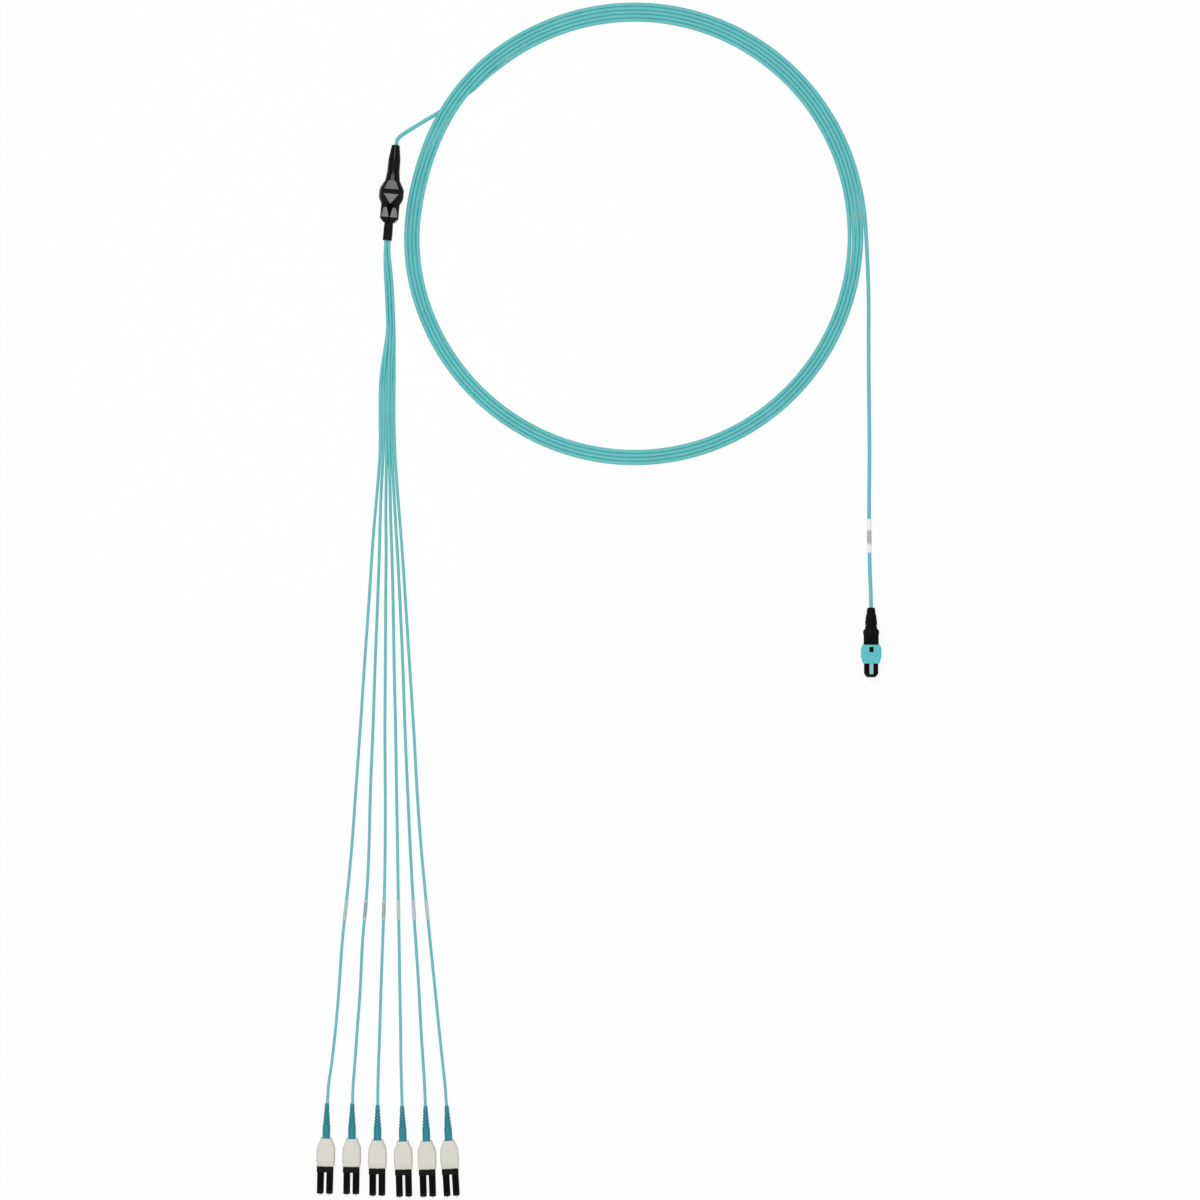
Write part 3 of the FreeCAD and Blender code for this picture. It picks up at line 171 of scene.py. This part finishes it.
def finish(name, colour, roughness, gloss, spread=0.006, mottle=0.04, grain=0.0003, depth=0.00001):
    """Plastic, rubber, film or glass: wandering tone, uneven gloss and a fine grain."""
    material = bpy.data.materials.new(name)
    material.use_nodes = True
    tree = material.node_tree
    surface = tree.nodes["Principled BSDF"]
    surface.inputs["Specular IOR Level"].default_value = gloss
    tree.links.new(tone(tree, colour, spread, mottle).outputs["Color"], surface.inputs["Base Color"])
    place = tree.nodes.new("ShaderNodeTexCoord")
    fine = tree.nodes.new("ShaderNodeTexNoise")
    fine.inputs["Scale"].default_value = 1 / grain
    fine.inputs["Detail"].default_value = GRAIN_DETAIL
    uneven = tree.nodes.new("ShaderNodeMapRange")
    uneven.inputs["To Min"].default_value = roughness - UNEVEN_GLOSS
    uneven.inputs["To Max"].default_value = roughness + UNEVEN_GLOSS
    relief = tree.nodes.new("ShaderNodeBump")
    relief.inputs["Distance"].default_value = depth
    tree.links.new(place.outputs["Object"], fine.inputs["Vector"])
    tree.links.new(fine.outputs["Fac"], uneven.inputs["Value"])
    tree.links.new(fine.outputs["Fac"], relief.inputs["Height"])
    tree.links.new(uneven.outputs["Result"], surface.inputs["Roughness"])
    tree.links.new(relief.outputs["Normal"], surface.inputs["Normal"])
    return material


def metal(name, colour, roughness):
    """Bare metal with fine drawing marks in its gloss."""
    material = finish(name, colour, roughness, gloss=0.5, spread=0.002, mottle=0.03, grain=0.00015)
    material.node_tree.nodes["Principled BSDF"].inputs["Metallic"].default_value = 1.0
    return material


def dress(material, *names):
    """Give CAD pieces their material."""
    for name in names:
        nodes[name].data.materials.clear()
        nodes[name].data.materials.append(material)


resin = finish("ferrule_resin", RESIN_BLACK, roughness=0.32, gloss=0.2, spread=0.001)
clamp_steel = metal("clamp_steel", CLAMP_GREY, roughness=0.34)
fibre_coating = finish("fibre_coating", COATING_TEAL, roughness=0.4, gloss=0.3, spread=0.002)
polished_glass = finish("polished_glass", GLASS_PALE, roughness=0.12, gloss=0.5, spread=0.0002)
dress(resin, "mt_ferrule")
dress(clamp_steel, "mpo_pin_clamp")
dress(fibre_coating, "fibre_ribbon")

PLUG_AXIS = sum(corner.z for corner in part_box("mt_ferrule")) / 2
polished_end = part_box("mt_ferrule")[0].y
row = bmesh.new()
for count in range(FIBRE_COUNT):
    place = Matrix.Translation(((count - (FIBRE_COUNT - 1) / 2) * FIBRE_PITCH, polished_end, PLUG_AXIS))
    bmesh.ops.create_cone(row, cap_ends=True, segments=FIBRE_SIDES, radius1=FIBRE_DIAMETER / 2,
                          radius2=FIBRE_DIAMETER / 2, depth=2 * FIBRE_PROUD,
                          matrix=place @ Matrix.Rotation(math.radians(90), 4, "X"))
row_mesh = bpy.data.meshes.new("fibre_ends")
row.to_mesh(row_mesh)
row.free()
fibre_ends = bpy.data.objects.new("fibre_ends", row_mesh)
scene.collection.objects.link(fibre_ends)
row_mesh.materials.append(polished_glass)
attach(fibre_ends, "ferrule")

# ---- springs of the multi-fibre plug --------------------------------------------------------------
# Steel wire, wound and ground flat: a large spring pushes the clamp and ferrule forward, and two small
# ones push the coupling sleeve.
SPRING_GREY = (0.60, 0.60, 0.59)
# The joint that shortens each spring, and how far.
SPRINGS = {"mpo_main_spring": ("ferrule_slide", 0.0008),
           "coupling_spring_left": ("sleeve_slide", 0.0015),
           "coupling_spring_right": ("sleeve_slide", 0.0015)}
dress(metal("spring_steel", SPRING_GREY, roughness=0.28), *SPRINGS)
for name, (joint, travel) in SPRINGS.items():
    coils = nodes[name].data.copy()
    coils.transform(nodes[name].matrix_world)
    wound = bpy.data.objects.new(name + "_coils", coils)
    scene.collection.objects.link(wound)
    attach(wound, "harness")
    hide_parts(name)
    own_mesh(wound)

# ---- housings of the multi-fibre plug ------------------------------------------------------------
# Black glass-filled nylon: the nose round the ferrule and the rear housing that snaps into it.  The
# cable's yarn is crimped to the rear housing under a metal ring.
NYLON_BLACK = (0.0015, 0.0016, 0.0014)
CRIMP_BRASS = (0.66, 0.62, 0.52)
HOUSING_EDGE = 0.00015
EDGE_STEPS, EDGE_ANGLE = 2, 40          # facets of a soft edge, and the least angle that gets one


def soften(width, *names):
    """Round the moulded edges of CAD pieces a little, as they come out of the tool."""
    for name in names:
        edges = nodes[name].modifiers.new("soft_edges", "BEVEL")
        edges.width = width
        edges.segments = EDGE_STEPS
        edges.limit_method = "ANGLE"
        edges.angle_limit = math.radians(EDGE_ANGLE)


nylon = finish("black_nylon", NYLON_BLACK, roughness=0.40, gloss=0.04, spread=0.004, mottle=0.10)
crimp_metal = metal("crimp_metal", CRIMP_BRASS, roughness=0.36)
dress(nylon, "mpo_plug_housing", "mpo_rear_housing")
dress(crimp_metal, "mpo_crimp_ring")
soften(HOUSING_EDGE, "mpo_plug_housing", "mpo_rear_housing")

# ---- polarity key ---------------------------------------------------------------------------------
# A separate pale moulding that snaps into its channel on top of the nose and slides along it.  It
# sets which way round two plugs mate.
KEY_AQUA = (0.30, 0.58, 0.58)
KEY_EDGE = 0.00012
dress(finish("key_plastic", KEY_AQUA, roughness=0.38, gloss=0.3, spread=0.003), "polarity_key")
soften(KEY_EDGE, "polarity_key")

# ---- coupling sleeve ----------------------------------------------------------------------------
# The aqua grip that is pulled back to release the plug, moulded in a satin plastic.  It runs on the
# plug housing against two small springs.
SLEEVE_AQUA = (0.115, 0.55, 0.60)
SLEEVE_EDGE = 0.00018
aqua_sleeve = finish("aqua_sleeve", SLEEVE_AQUA, roughness=0.40, gloss=0.30, spread=0.005, mottle=0.03)
dress(aqua_sleeve, "coupling_sleeve")
soften(SLEEVE_EDGE, "coupling_sleeve")

# ---- boot of the multi-fibre plug -----------------------------------------------------------------
# Black rubber, moulded with a taper and grooves so that it gives evenly.  It is pushed over the crimp
# and keeps the cable from kinking where it leaves the plug.
RUBBER_BLACK = (0.0018, 0.0018, 0.0017)
BOOT_EDGE = 0.00015
rubber = finish("black_rubber", RUBBER_BLACK, roughness=0.46, gloss=0.06, spread=0.003, mottle=0.12,
                depth=0.00002)
dress(rubber, "mpo_boot")
soften(BOOT_EDGE, "mpo_boot")

# ---- trunk cable ------------------------------------------------------------------------------
# Round trunk with an extruded aqua jacket over yarn and fibres.  It leaves the multi-fibre plug's
# boot, is wound into one wide flat coil and passes under its own strands to the breakout body.
TRUNK_DIAMETER = 0.0026
JACKET_AQUA = (0.128, 0.548, 0.553)
ROUNDNESS, SMOOTHNESS = 7, 10           # how finely a cable's round and its line are divided


def cable(name, points, diameter, material):
    """Round cable along a smooth line through a listed route."""
    line = bpy.data.curves.new(name, "CURVE")
    line.dimensions = "3D"
    line.bevel_depth = diameter / 2
    line.bevel_resolution = ROUNDNESS
    line.use_fill_caps = True
    line.resolution_u = SMOOTHNESS
    spline = line.splines.new("NURBS")
    spline.points.add(len(points) - 1)
    for point, place in zip(spline.points, points):
        point.co = (*place, 1.0)
    spline.order_u = 3
    spline.use_endpoint_u = True
    piece = bpy.data.objects.new(name, line)
    scene.collection.objects.link(piece)
    line.materials.append(material)
    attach(piece, "harness")
    return piece


def beside_axis(base, angle, along, across):
    """Point at a distance along and across a connector's axis, which runs towards -Y."""
    turn = math.radians(angle)
    return (base[0] + along * math.sin(turn) + across * math.cos(turn),
            base[1] - along * math.cos(turn) + across * math.sin(turn))


BOOT_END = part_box("mpo_boot")[1].y
TRUNK_IN_BOOT, TRUNK_STRAIGHT = 0.0092, 0.008
ON_TABLE = 0.00135                      # height of the trunk's centre where it lies on the table
TRUNK_LEAD = [
    (0, BOOT_END - TRUNK_IN_BOOT, PLUG_AXIS), (0, BOOT_END + TRUNK_STRAIGHT, PLUG_AXIS),
    (-0.0009, 0.050, 0.00195), (-0.0013, 0.092, 0.0018), (-0.0008, 0.130, ON_TABLE),
    (-0.0013, 0.168, ON_TABLE), (-0.0016, 0.203, ON_TABLE), (-0.0014, 0.234, ON_TABLE),
    (-0.0022, 0.257, ON_TABLE),
]

# The coil: strands side by side, the first outermost.  Each of the four strands that the trunk's end
# passes under rises over it, at the angle where it crosses.  The bundle isn't a true circle: at each
# sway it lies further out or in, given as angle, spread in degrees and shift.
COIL_CENTRE = (-0.1607, 0.2770)
FIRST_STRAND, STRAND_PITCH = 0.15667, 0.00262
OVER_TRUNK = 0.00402                    # height of a strand's centre where it crosses the trunk's end
CROSSINGS = (147.0, 145.1, 142.6, 138.5)
SWAYS = [(165, 14, -0.0019), (290, 45, 0.0009), (130, 10, 0.0006)]
STEP = 12                               # degrees between the points of a turn
STEPS_ROUND = 360 // STEP
STEPS_BEFORE = 11                       # points of a turn that come before its crossing
CROSSING_TOP = (0, 1)                   # the two points over the trunk's end, counted from there
LAST_STRETCH = 144                      # degrees from the last full turn to where the trunk leaves
FLARE = math.cos(math.radians(STEP / 2))    # a smooth line runs inside its points by this share


def strand_point(angle, height):
    """Point for the coil at an angle that keeps counting up from turn to turn, in degrees."""
    radius = FIRST_STRAND - STRAND_PITCH * angle / 360
    radius += sum(shift * math.exp(-((angle % 360 - middle) / spread) ** 2)
                  for middle, spread, shift in SWAYS)
    turn = math.radians(angle)
    return (COIL_CENTRE[0] + radius / FLARE * math.cos(turn),
            COIL_CENTRE[1] + radius / FLARE * math.sin(turn), height)


coil = [strand_point(0, ON_TABLE)]
for turn, crossing in enumerate(CROSSINGS):
    for step in range(-STEPS_BEFORE, STEPS_ROUND - STEPS_BEFORE):
        height = OVER_TRUNK if step in CROSSING_TOP else ON_TABLE
        coil.append(strand_point(360 * turn + crossing + (step - 0.5) * STEP, height))
coil += [strand_point(360 * len(CROSSINGS) + angle, ON_TABLE) for angle in range(0, LAST_STRETCH, STEP)]
UNDER_COIL = [(-0.2702, 0.3746, ON_TABLE), (-0.2845, 0.3650, ON_TABLE)]

BREAKOUT = (-0.3222, 0.3369)            # where the trunk enters the breakout body
BREAKOUT_TURN = -5.1                    # degrees
BREAKOUT_AXIS = sum(corner.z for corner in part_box("breakout_cap")) / 2
TRUNK_BEFORE_RELIEF, TRUNK_IN_RELIEF = 0.0022, 0.0230
TRUNK_TAIL = [(-0.2968, 0.3575, ON_TABLE), (-0.3044, 0.3530, 0.0017), (-0.3110, 0.3488, 0.0028),
              (-0.3168, 0.3450, 0.0042), (-0.3204, 0.3421, 0.0053)]
TRUNK_TAIL += [beside_axis(BREAKOUT, BREAKOUT_TURN, along, 0) + (BREAKOUT_AXIS,)
               for along in (-TRUNK_BEFORE_RELIEF, TRUNK_IN_RELIEF)]

jacket = finish("jacket", JACKET_AQUA, roughness=0.50, gloss=0.35, spread=0.012, mottle=0.05)
trunk = cable("trunk", TRUNK_LEAD + coil + UNDER_COIL + TRUNK_TAIL, TRUNK_DIAMETER, jacket)
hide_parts("trunk_lead", "trunk_coil", "trunk_tail")

# ---- label on the trunk ---------------------------------------------------------------------------
# A strip of white film wrapped round the cable and stuck down over its own start, with a plain grey
# field where the identity would be printed.
FILM_WHITE = (0.93, 0.94, 0.94)
FIELD_GREY = (0.46, 0.46, 0.455)
FIELD_REACH = (0.26, 0.66)              # shares of the strip's length between which it is printed
FIELD_FADE = 0.05                       # share of the length over which a field's edge blurs
LABEL_LOW, LABEL_HIGH = 0.0608, 0.0838
FILM_GAP, FILM_THICKNESS = 0.00016, 0.00005
FILM_RISE = 1.6                         # film thicknesses that the strip climbs from start to end
FILM_ROUND, FILM_ALONG = 40, 24         # faces round and along the strip
FILM_START, FILM_OVERLAP = -90, 60      # degrees: it starts under the cable and covers its own start
LINE_BEYOND, LINE_BESIDE = 0.01, 0.02   # how far past and beside a label the cable's line is read


def printed_film(name, paper, ink, field):
    """Film with one printed field, which reaches between two shares of the strip's length."""
    material = finish(name, paper, roughness=0.42, gloss=0.3, spread=0.003, mottle=0.02)
    tree = material.node_tree
    surface = tree.nodes["Principled BSDF"]
    plain = surface.inputs["Base Color"].links[0].from_socket
    place = tree.nodes.new("ShaderNodeUVMap")
    split = tree.nodes.new("ShaderNodeSeparateXYZ")
    edges = tree.nodes.new("ShaderNodeValToRGB")
    start, end = field
    for stop, (at, grey) in enumerate(((start - FIELD_FADE, 0), (start + FIELD_FADE, 1),
                                       (end - FIELD_FADE, 1), (end + FIELD_FADE, 0))):
        if stop > 1:
            edges.color_ramp.elements.new(at)
        edges.color_ramp.elements[stop].position = at
        edges.color_ramp.elements[stop].color = (grey, grey, grey, 1)
    printed = tree.nodes.new("ShaderNodeMix")
    printed.data_type = "RGBA"
    printed.inputs["B"].default_value = (*ink, 1)
    tree.links.new(place.outputs["UV"], split.inputs[0])
    tree.links.new(split.outputs["Y"], edges.inputs["Fac"])
    tree.links.new(edges.outputs["Color"], printed.inputs["Factor"])
    tree.links.new(plain, printed.inputs["A"])
    tree.links.new(printed.outputs["Result"], surface.inputs["Base Color"])
    return material


def film(name, cord, near, diameter, low, high, material):
    """Film wrapped round a cable between two places along Y, following the cable's line near an X."""
    bare = cord.data.copy()
    bare.bevel_depth = 0
    holder = bpy.data.objects.new("bare", bare)
    line = sorted((vertex.co.copy() for vertex in bpy.data.meshes.new_from_object(holder).vertices
                   if low - LINE_BEYOND < vertex.co.y < high + LINE_BEYOND
                   and abs(vertex.co.x - near) < LINE_BESIDE),
                  key=lambda place: place.y)
    sheet = bmesh.new()
    along_round = sheet.loops.layers.uv.new("UVMap")
    rows = []
    for row in range(FILM_ALONG + 1):
        y = low + (high - low) * row / FILM_ALONG
        after = next(count for count, place in enumerate(line) if place.y >= y)
        before, beyond = line[after - 1], line[after]
        middle = before.lerp(beyond, (y - before.y) / (beyond.y - before.y))
        aside = (beyond - before).normalized().cross(Vector((0, 0, 1)))
        upward = aside.cross((beyond - before).normalized())
        rows.append([])
        for count in range(FILM_ROUND + 1):
            turn = math.radians(FILM_START + (360 + FILM_OVERLAP) * count / FILM_ROUND)
            radius = diameter / 2 + FILM_GAP + FILM_RISE * FILM_THICKNESS * count / FILM_ROUND
            rows[-1].append(sheet.verts.new(middle + radius * (math.cos(turn) * aside
                                                               + math.sin(turn) * upward)))
    for row in range(FILM_ALONG):
        for count in range(FILM_ROUND):
            corners = [(row, count), (row, count + 1), (row + 1, count + 1), (row + 1, count)]
            face = sheet.faces.new([rows[a][b] for a, b in corners])
            face.smooth = True
            for loop, (a, b) in zip(face.loops, corners):
                loop[along_round].uv = (b / FILM_ROUND, a / FILM_ALONG)
    mesh = bpy.data.meshes.new(name)
    sheet.to_mesh(mesh)
    sheet.free()
    wrap = bpy.data.objects.new(name, mesh)
    scene.collection.objects.link(wrap)
    mesh.materials.append(material)
    thick = wrap.modifiers.new("thickness", "SOLIDIFY")
    thick.thickness = FILM_THICKNESS
    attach(wrap, "harness")
    return wrap


trunk_film = printed_film("trunk_film", FILM_WHITE, FIELD_GREY, FIELD_REACH)
trunk_wrap = film("trunk_label_film", trunk, 0, TRUNK_DIAMETER, LABEL_LOW, LABEL_HIGH, trunk_film)
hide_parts("trunk_label")

# ---- breakout body ----------------------------------------------------------------------------------
# Glossy black mouldings where the trunk parts into six legs: a rubber strain relief over the crimped
# jacket, a flared cap, two body shells with a pair of lobes, and an oval sleeve round the legs.
BREAKOUT_BLACK = (0.0012, 0.0012, 0.0011)
BODY_EDGE, RELIEF_EDGE = 0.00025, 0.0002
glossy_black = finish("glossy_black", BREAKOUT_BLACK, roughness=0.20, gloss=0.10, spread=0.006,
                      mottle=0.10, grain=0.0006, depth=0.000004)
relief_rubber = finish("relief_rubber", RUBBER_BLACK, roughness=0.26, gloss=0.10, spread=0.004,
                       mottle=0.10, depth=0.00001)
dress(glossy_black, "breakout_cap", "breakout_body_top", "breakout_body_base")
dress(relief_rubber, "breakout_boot", "breakout_tail_sleeve")
dress(crimp_metal, "breakout_crimp_ring")
dress(fibre_coating, "breakout_fibres")
soften(BODY_EDGE, "breakout_cap", "breakout_body_top", "breakout_body_base")
soften(RELIEF_EDGE, "breakout_boot", "breakout_tail_sleeve")

# ---- legs -------------------------------------------------------------------------------------
# Six thin two-fibre cables in the same aqua jacket.  They leave the breakout body as a bundle, lie
# side by side down the table and fan out to the twin plugs.
LEG_DIAMETER = 0.0020
LEG_SPACING = 0.0021
TAIL_END = 0.0647                       # from the trunk's entry to where the legs leave
LEG_IN_TAIL, LEG_PAST_TAIL = 0.012, 0.005
LEG_BEFORE_BOOT, LEG_IN_BOOT = 0.009, 0.0264
LEG_AXIS = sum(corner.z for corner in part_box("lc1_shell")) / 2
# Height of a leg's centre where it lies on the table, and where a label or the plug lifts it.
FLAT, RAISED = 0.00105, 0.0014
# Distance along Y, then the X and height of each leg's centre there.
LEG_STATIONS = [
    (0.256, (-0.3297, 0.0023), (-0.3297, 0.0044), (-0.3276, 0.0023), (-0.3281, 0.0060),
     (-0.3260, 0.0060), (-0.3260, 0.0039)),
    (0.243, (-0.3291, FLAT), (-0.3291, 0.00315), (-0.3270, FLAT), (-0.3270, 0.00315),
     (-0.3249, 0.00315), (-0.3249, FLAT)),
    (0.228, (-0.3283, FLAT), (-0.3283, 0.00315), (-0.3262, FLAT), (-0.3262, 0.00315),
     (-0.3241, 0.00315), (-0.3241, FLAT)),
    (0.212, (-0.3277, FLAT), (-0.3277, 0.0032), (-0.3256, FLAT), (-0.3256, 0.0032),
     (-0.3235, 0.0032), (-0.3235, FLAT)),
    (0.195, (-0.3306, FLAT), (-0.3290, 0.00265), (-0.3272, FLAT), (-0.3270, 0.0032),
     (-0.3250, 0.0027), (-0.3234, FLAT)),
    (0.178, (-0.3329, FLAT), (-0.3308, FLAT), (-0.3287, FLAT), (-0.3271, 0.00265),
     (-0.3255, FLAT), (-0.3234, FLAT)),
    (0.155, (-0.3332, FLAT), (-0.3311, FLAT), (-0.3290, FLAT), (-0.3274, 0.00265),
     (-0.3258, FLAT), (-0.3237, FLAT)),
    (0.132, (-0.3327, FLAT), (-0.3306, FLAT), (-0.3285, FLAT), (-0.3269, 0.00265),
     (-0.3253, FLAT), (-0.3232, FLAT)),
    (0.110, (-0.3344, FLAT), (-0.3320, FLAT), (-0.3290, FLAT), (-0.3264, 0.0011),
     (-0.3241, FLAT), (-0.3218, FLAT)),
    (0.086, (-0.3366, FLAT), (-0.3330, FLAT), (-0.3292, FLAT), (-0.3260, FLAT),
     (-0.3229, FLAT), (-0.3200, FLAT)),
    (0.062, (-0.3385, FLAT), (-0.3335, FLAT), (-0.3289, FLAT), (-0.3251, FLAT),
     (-0.3213, FLAT), (-0.3180, FLAT)),
    (0.028, (-0.3406, FLAT), (-0.3347, FLAT), (-0.3293, FLAT), (-0.3242, FLAT),
     (-0.3196, FLAT), (-0.3158, FLAT)),
    (-0.015, (-0.3437, FLAT), (-0.3365, FLAT), (-0.3295, FLAT), (-0.3236, FLAT),
     (-0.3176, FLAT), (-0.3131, FLAT)),
    (-0.060, (-0.3466, FLAT), (-0.3379, FLAT), (-0.3299, FLAT), (-0.3225, FLAT),
     (-0.3162, FLAT), (-0.3101, FLAT)),
    (-0.102, (-0.3497, FLAT), (-0.3398, FLAT), (-0.3295, FLAT), (-0.3219, FLAT),
     (-0.3143, FLAT), (-0.3080, FLAT)),
    (-0.139, (-0.3522, FLAT), (-0.3405, FLAT), (-0.3296, FLAT), (-0.3212, FLAT),
     (-0.3127, FLAT), (-0.3053, FLAT)),
    (-0.171, (-0.3553, RAISED), (-0.3420, RAISED), (-0.3301, RAISED), (-0.3208, RAISED),
     (-0.3109, RAISED), (-0.3023, RAISED)),
    (-0.203, (-0.3589, RAISED), (-0.3452, RAISED), (-0.3313, RAISED), (-0.3201, RAISED),
     (-0.3089, RAISED), (-0.2991, RAISED)),
    (-0.235, (-0.3609, FLAT), (-0.3464, FLAT), (-0.3325, FLAT), (-0.3197, FLAT),
     (-0.3067, FLAT), (-0.2958, FLAT)),
    (-0.264, (-0.3634, FLAT), (-0.3487, FLAT), (-0.3333, FLAT), (-0.3191, FLAT),
     (-0.3053, FLAT), (-0.2929, FLAT)),
    (-0.288, (-0.3661, RAISED), (-0.3503, RAISED), (-0.3342, RAISED), (-0.3189, RAISED),
     (-0.3036, RAISED), (-0.2903, RAISED)),
]
# Where each leg leaves the body, across and up, counted in leg spacings.
LEG_EXIT = [(-0.5, -1), (-0.5, 0), (0.5, -1), (-0.5, 1), (0.5, 1), (0.5, 0)]
# Twin plugs: where the leg enters the boot, and the turn of the plug's axis in degrees.
TWIN_PLUGS = [((-0.3689, -0.3125), -1.4), ((-0.3518, -0.3128), -0.6), ((-0.3346, -0.3138), -0.2),
              ((-0.3180, -0.3145), 1.35), ((-0.3022, -0.3145), 1.75), ((-0.2878, -0.3141), 3.3)]
legs = []
for number, ((entry, angle), (across, up)) in enumerate(zip(TWIN_PLUGS, LEG_EXIT), start=1):
    height = BREAKOUT_AXIS + up * LEG_SPACING
    route = [beside_axis(BREAKOUT, BREAKOUT_TURN, TAIL_END + beyond, across * LEG_SPACING) + (height,)
             for beyond in (-LEG_IN_TAIL, LEG_PAST_TAIL)]
    route += [(station[number][0], station[0], station[number][1]) for station in LEG_STATIONS]
    route += [beside_axis(entry, angle, along, 0) + (LEG_AXIS,)
              for along in (-LEG_BEFORE_BOOT, LEG_IN_BOOT)]
    leg = cable("leg_cable_%d" % number, route, LEG_DIAMETER, jacket)
    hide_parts("leg_%d" % number)
    legs.append(leg)

# ---- labels on the legs --------------------------------------------------------------------------
# Each leg carries a shorter strip of the same film, wrapped in the same way on its stretch towards the
# plug.  Each has a plain field of a slightly different tint where its number would be printed.
LEG_LABEL_LENGTH = 0.0136
LEG_LABEL_PLACE = -0.1816               # middle of the labels along Y
FIELD_TINTS = [(0.42, 0.59, 0.56), (0.33, 0.41, 0.45), (0.36, 0.45, 0.45), (0.53, 0.65, 0.61),
               (0.54, 0.58, 0.64), (0.51, 0.60, 0.62)]
LEG_PAPER = (0.50, 0.64, 0.63)
LEG_FIELD_REACH = (0.12, 0.88)
LABEL_STATION = min(LEG_STATIONS, key=lambda station: abs(station[0] - LEG_LABEL_PLACE))
leg_wraps = []
for number, (leg, tint) in enumerate(zip(legs, FIELD_TINTS), start=1):
    wrap = film("leg_label_film_%d" % number, leg, LABEL_STATION[number][0], LEG_DIAMETER,
                LEG_LABEL_PLACE - LEG_LABEL_LENGTH / 2, LEG_LABEL_PLACE + LEG_LABEL_LENGTH / 2,
                printed_film("leg_film_%d" % number, LEG_PAPER, tint, LEG_FIELD_REACH))
    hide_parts("leg_labels")
    leg_wraps.append(wrap)

# ---- twin plugs -----------------------------------------------------------------------------------
# Each leg ends in a pair of small square black plugs with latch arms, held in an ivory shell.  A teal
# rubber boot with grooves is pushed into the shell's neck, and a white ceramic pin floats in each plug.
BOOT_TEAL = (0.020, 0.262, 0.318)
SHELL_IVORY = (0.69, 0.675, 0.605)
PLUG_BLACK = (0.0012, 0.0012, 0.0010)
CERAMIC_WHITE = (0.85, 0.84, 0.80)
PLUG_EDGE, SHELL_EDGE = 0.0001, 0.00018
teal_rubber = finish("teal_rubber", BOOT_TEAL, roughness=0.50, gloss=0.25, spread=0.003, mottle=0.06)
ivory = finish("ivory_plastic", SHELL_IVORY, roughness=0.42, gloss=0.35, spread=0.006, mottle=0.02)
plug_black = finish("plug_plastic", PLUG_BLACK, roughness=0.38, gloss=0.035, spread=0.003, mottle=0.10)
ceramic = finish("ceramic", CERAMIC_WHITE, roughness=0.18, gloss=0.5, spread=0.001, mottle=0.02)
for number, (leg, wrap) in enumerate(zip(legs, leg_wraps), start=1):
    name = "lc%d_" % number
    dress(teal_rubber, name + "boot")
    dress(ivory, name + "shell")
    dress(plug_black, name + "plug")
    dress(ceramic, name + "ferrule_a", name + "ferrule_b")
    soften(PLUG_EDGE, name + "boot", name + "plug")
    soften(SHELL_EDGE, name + "shell")
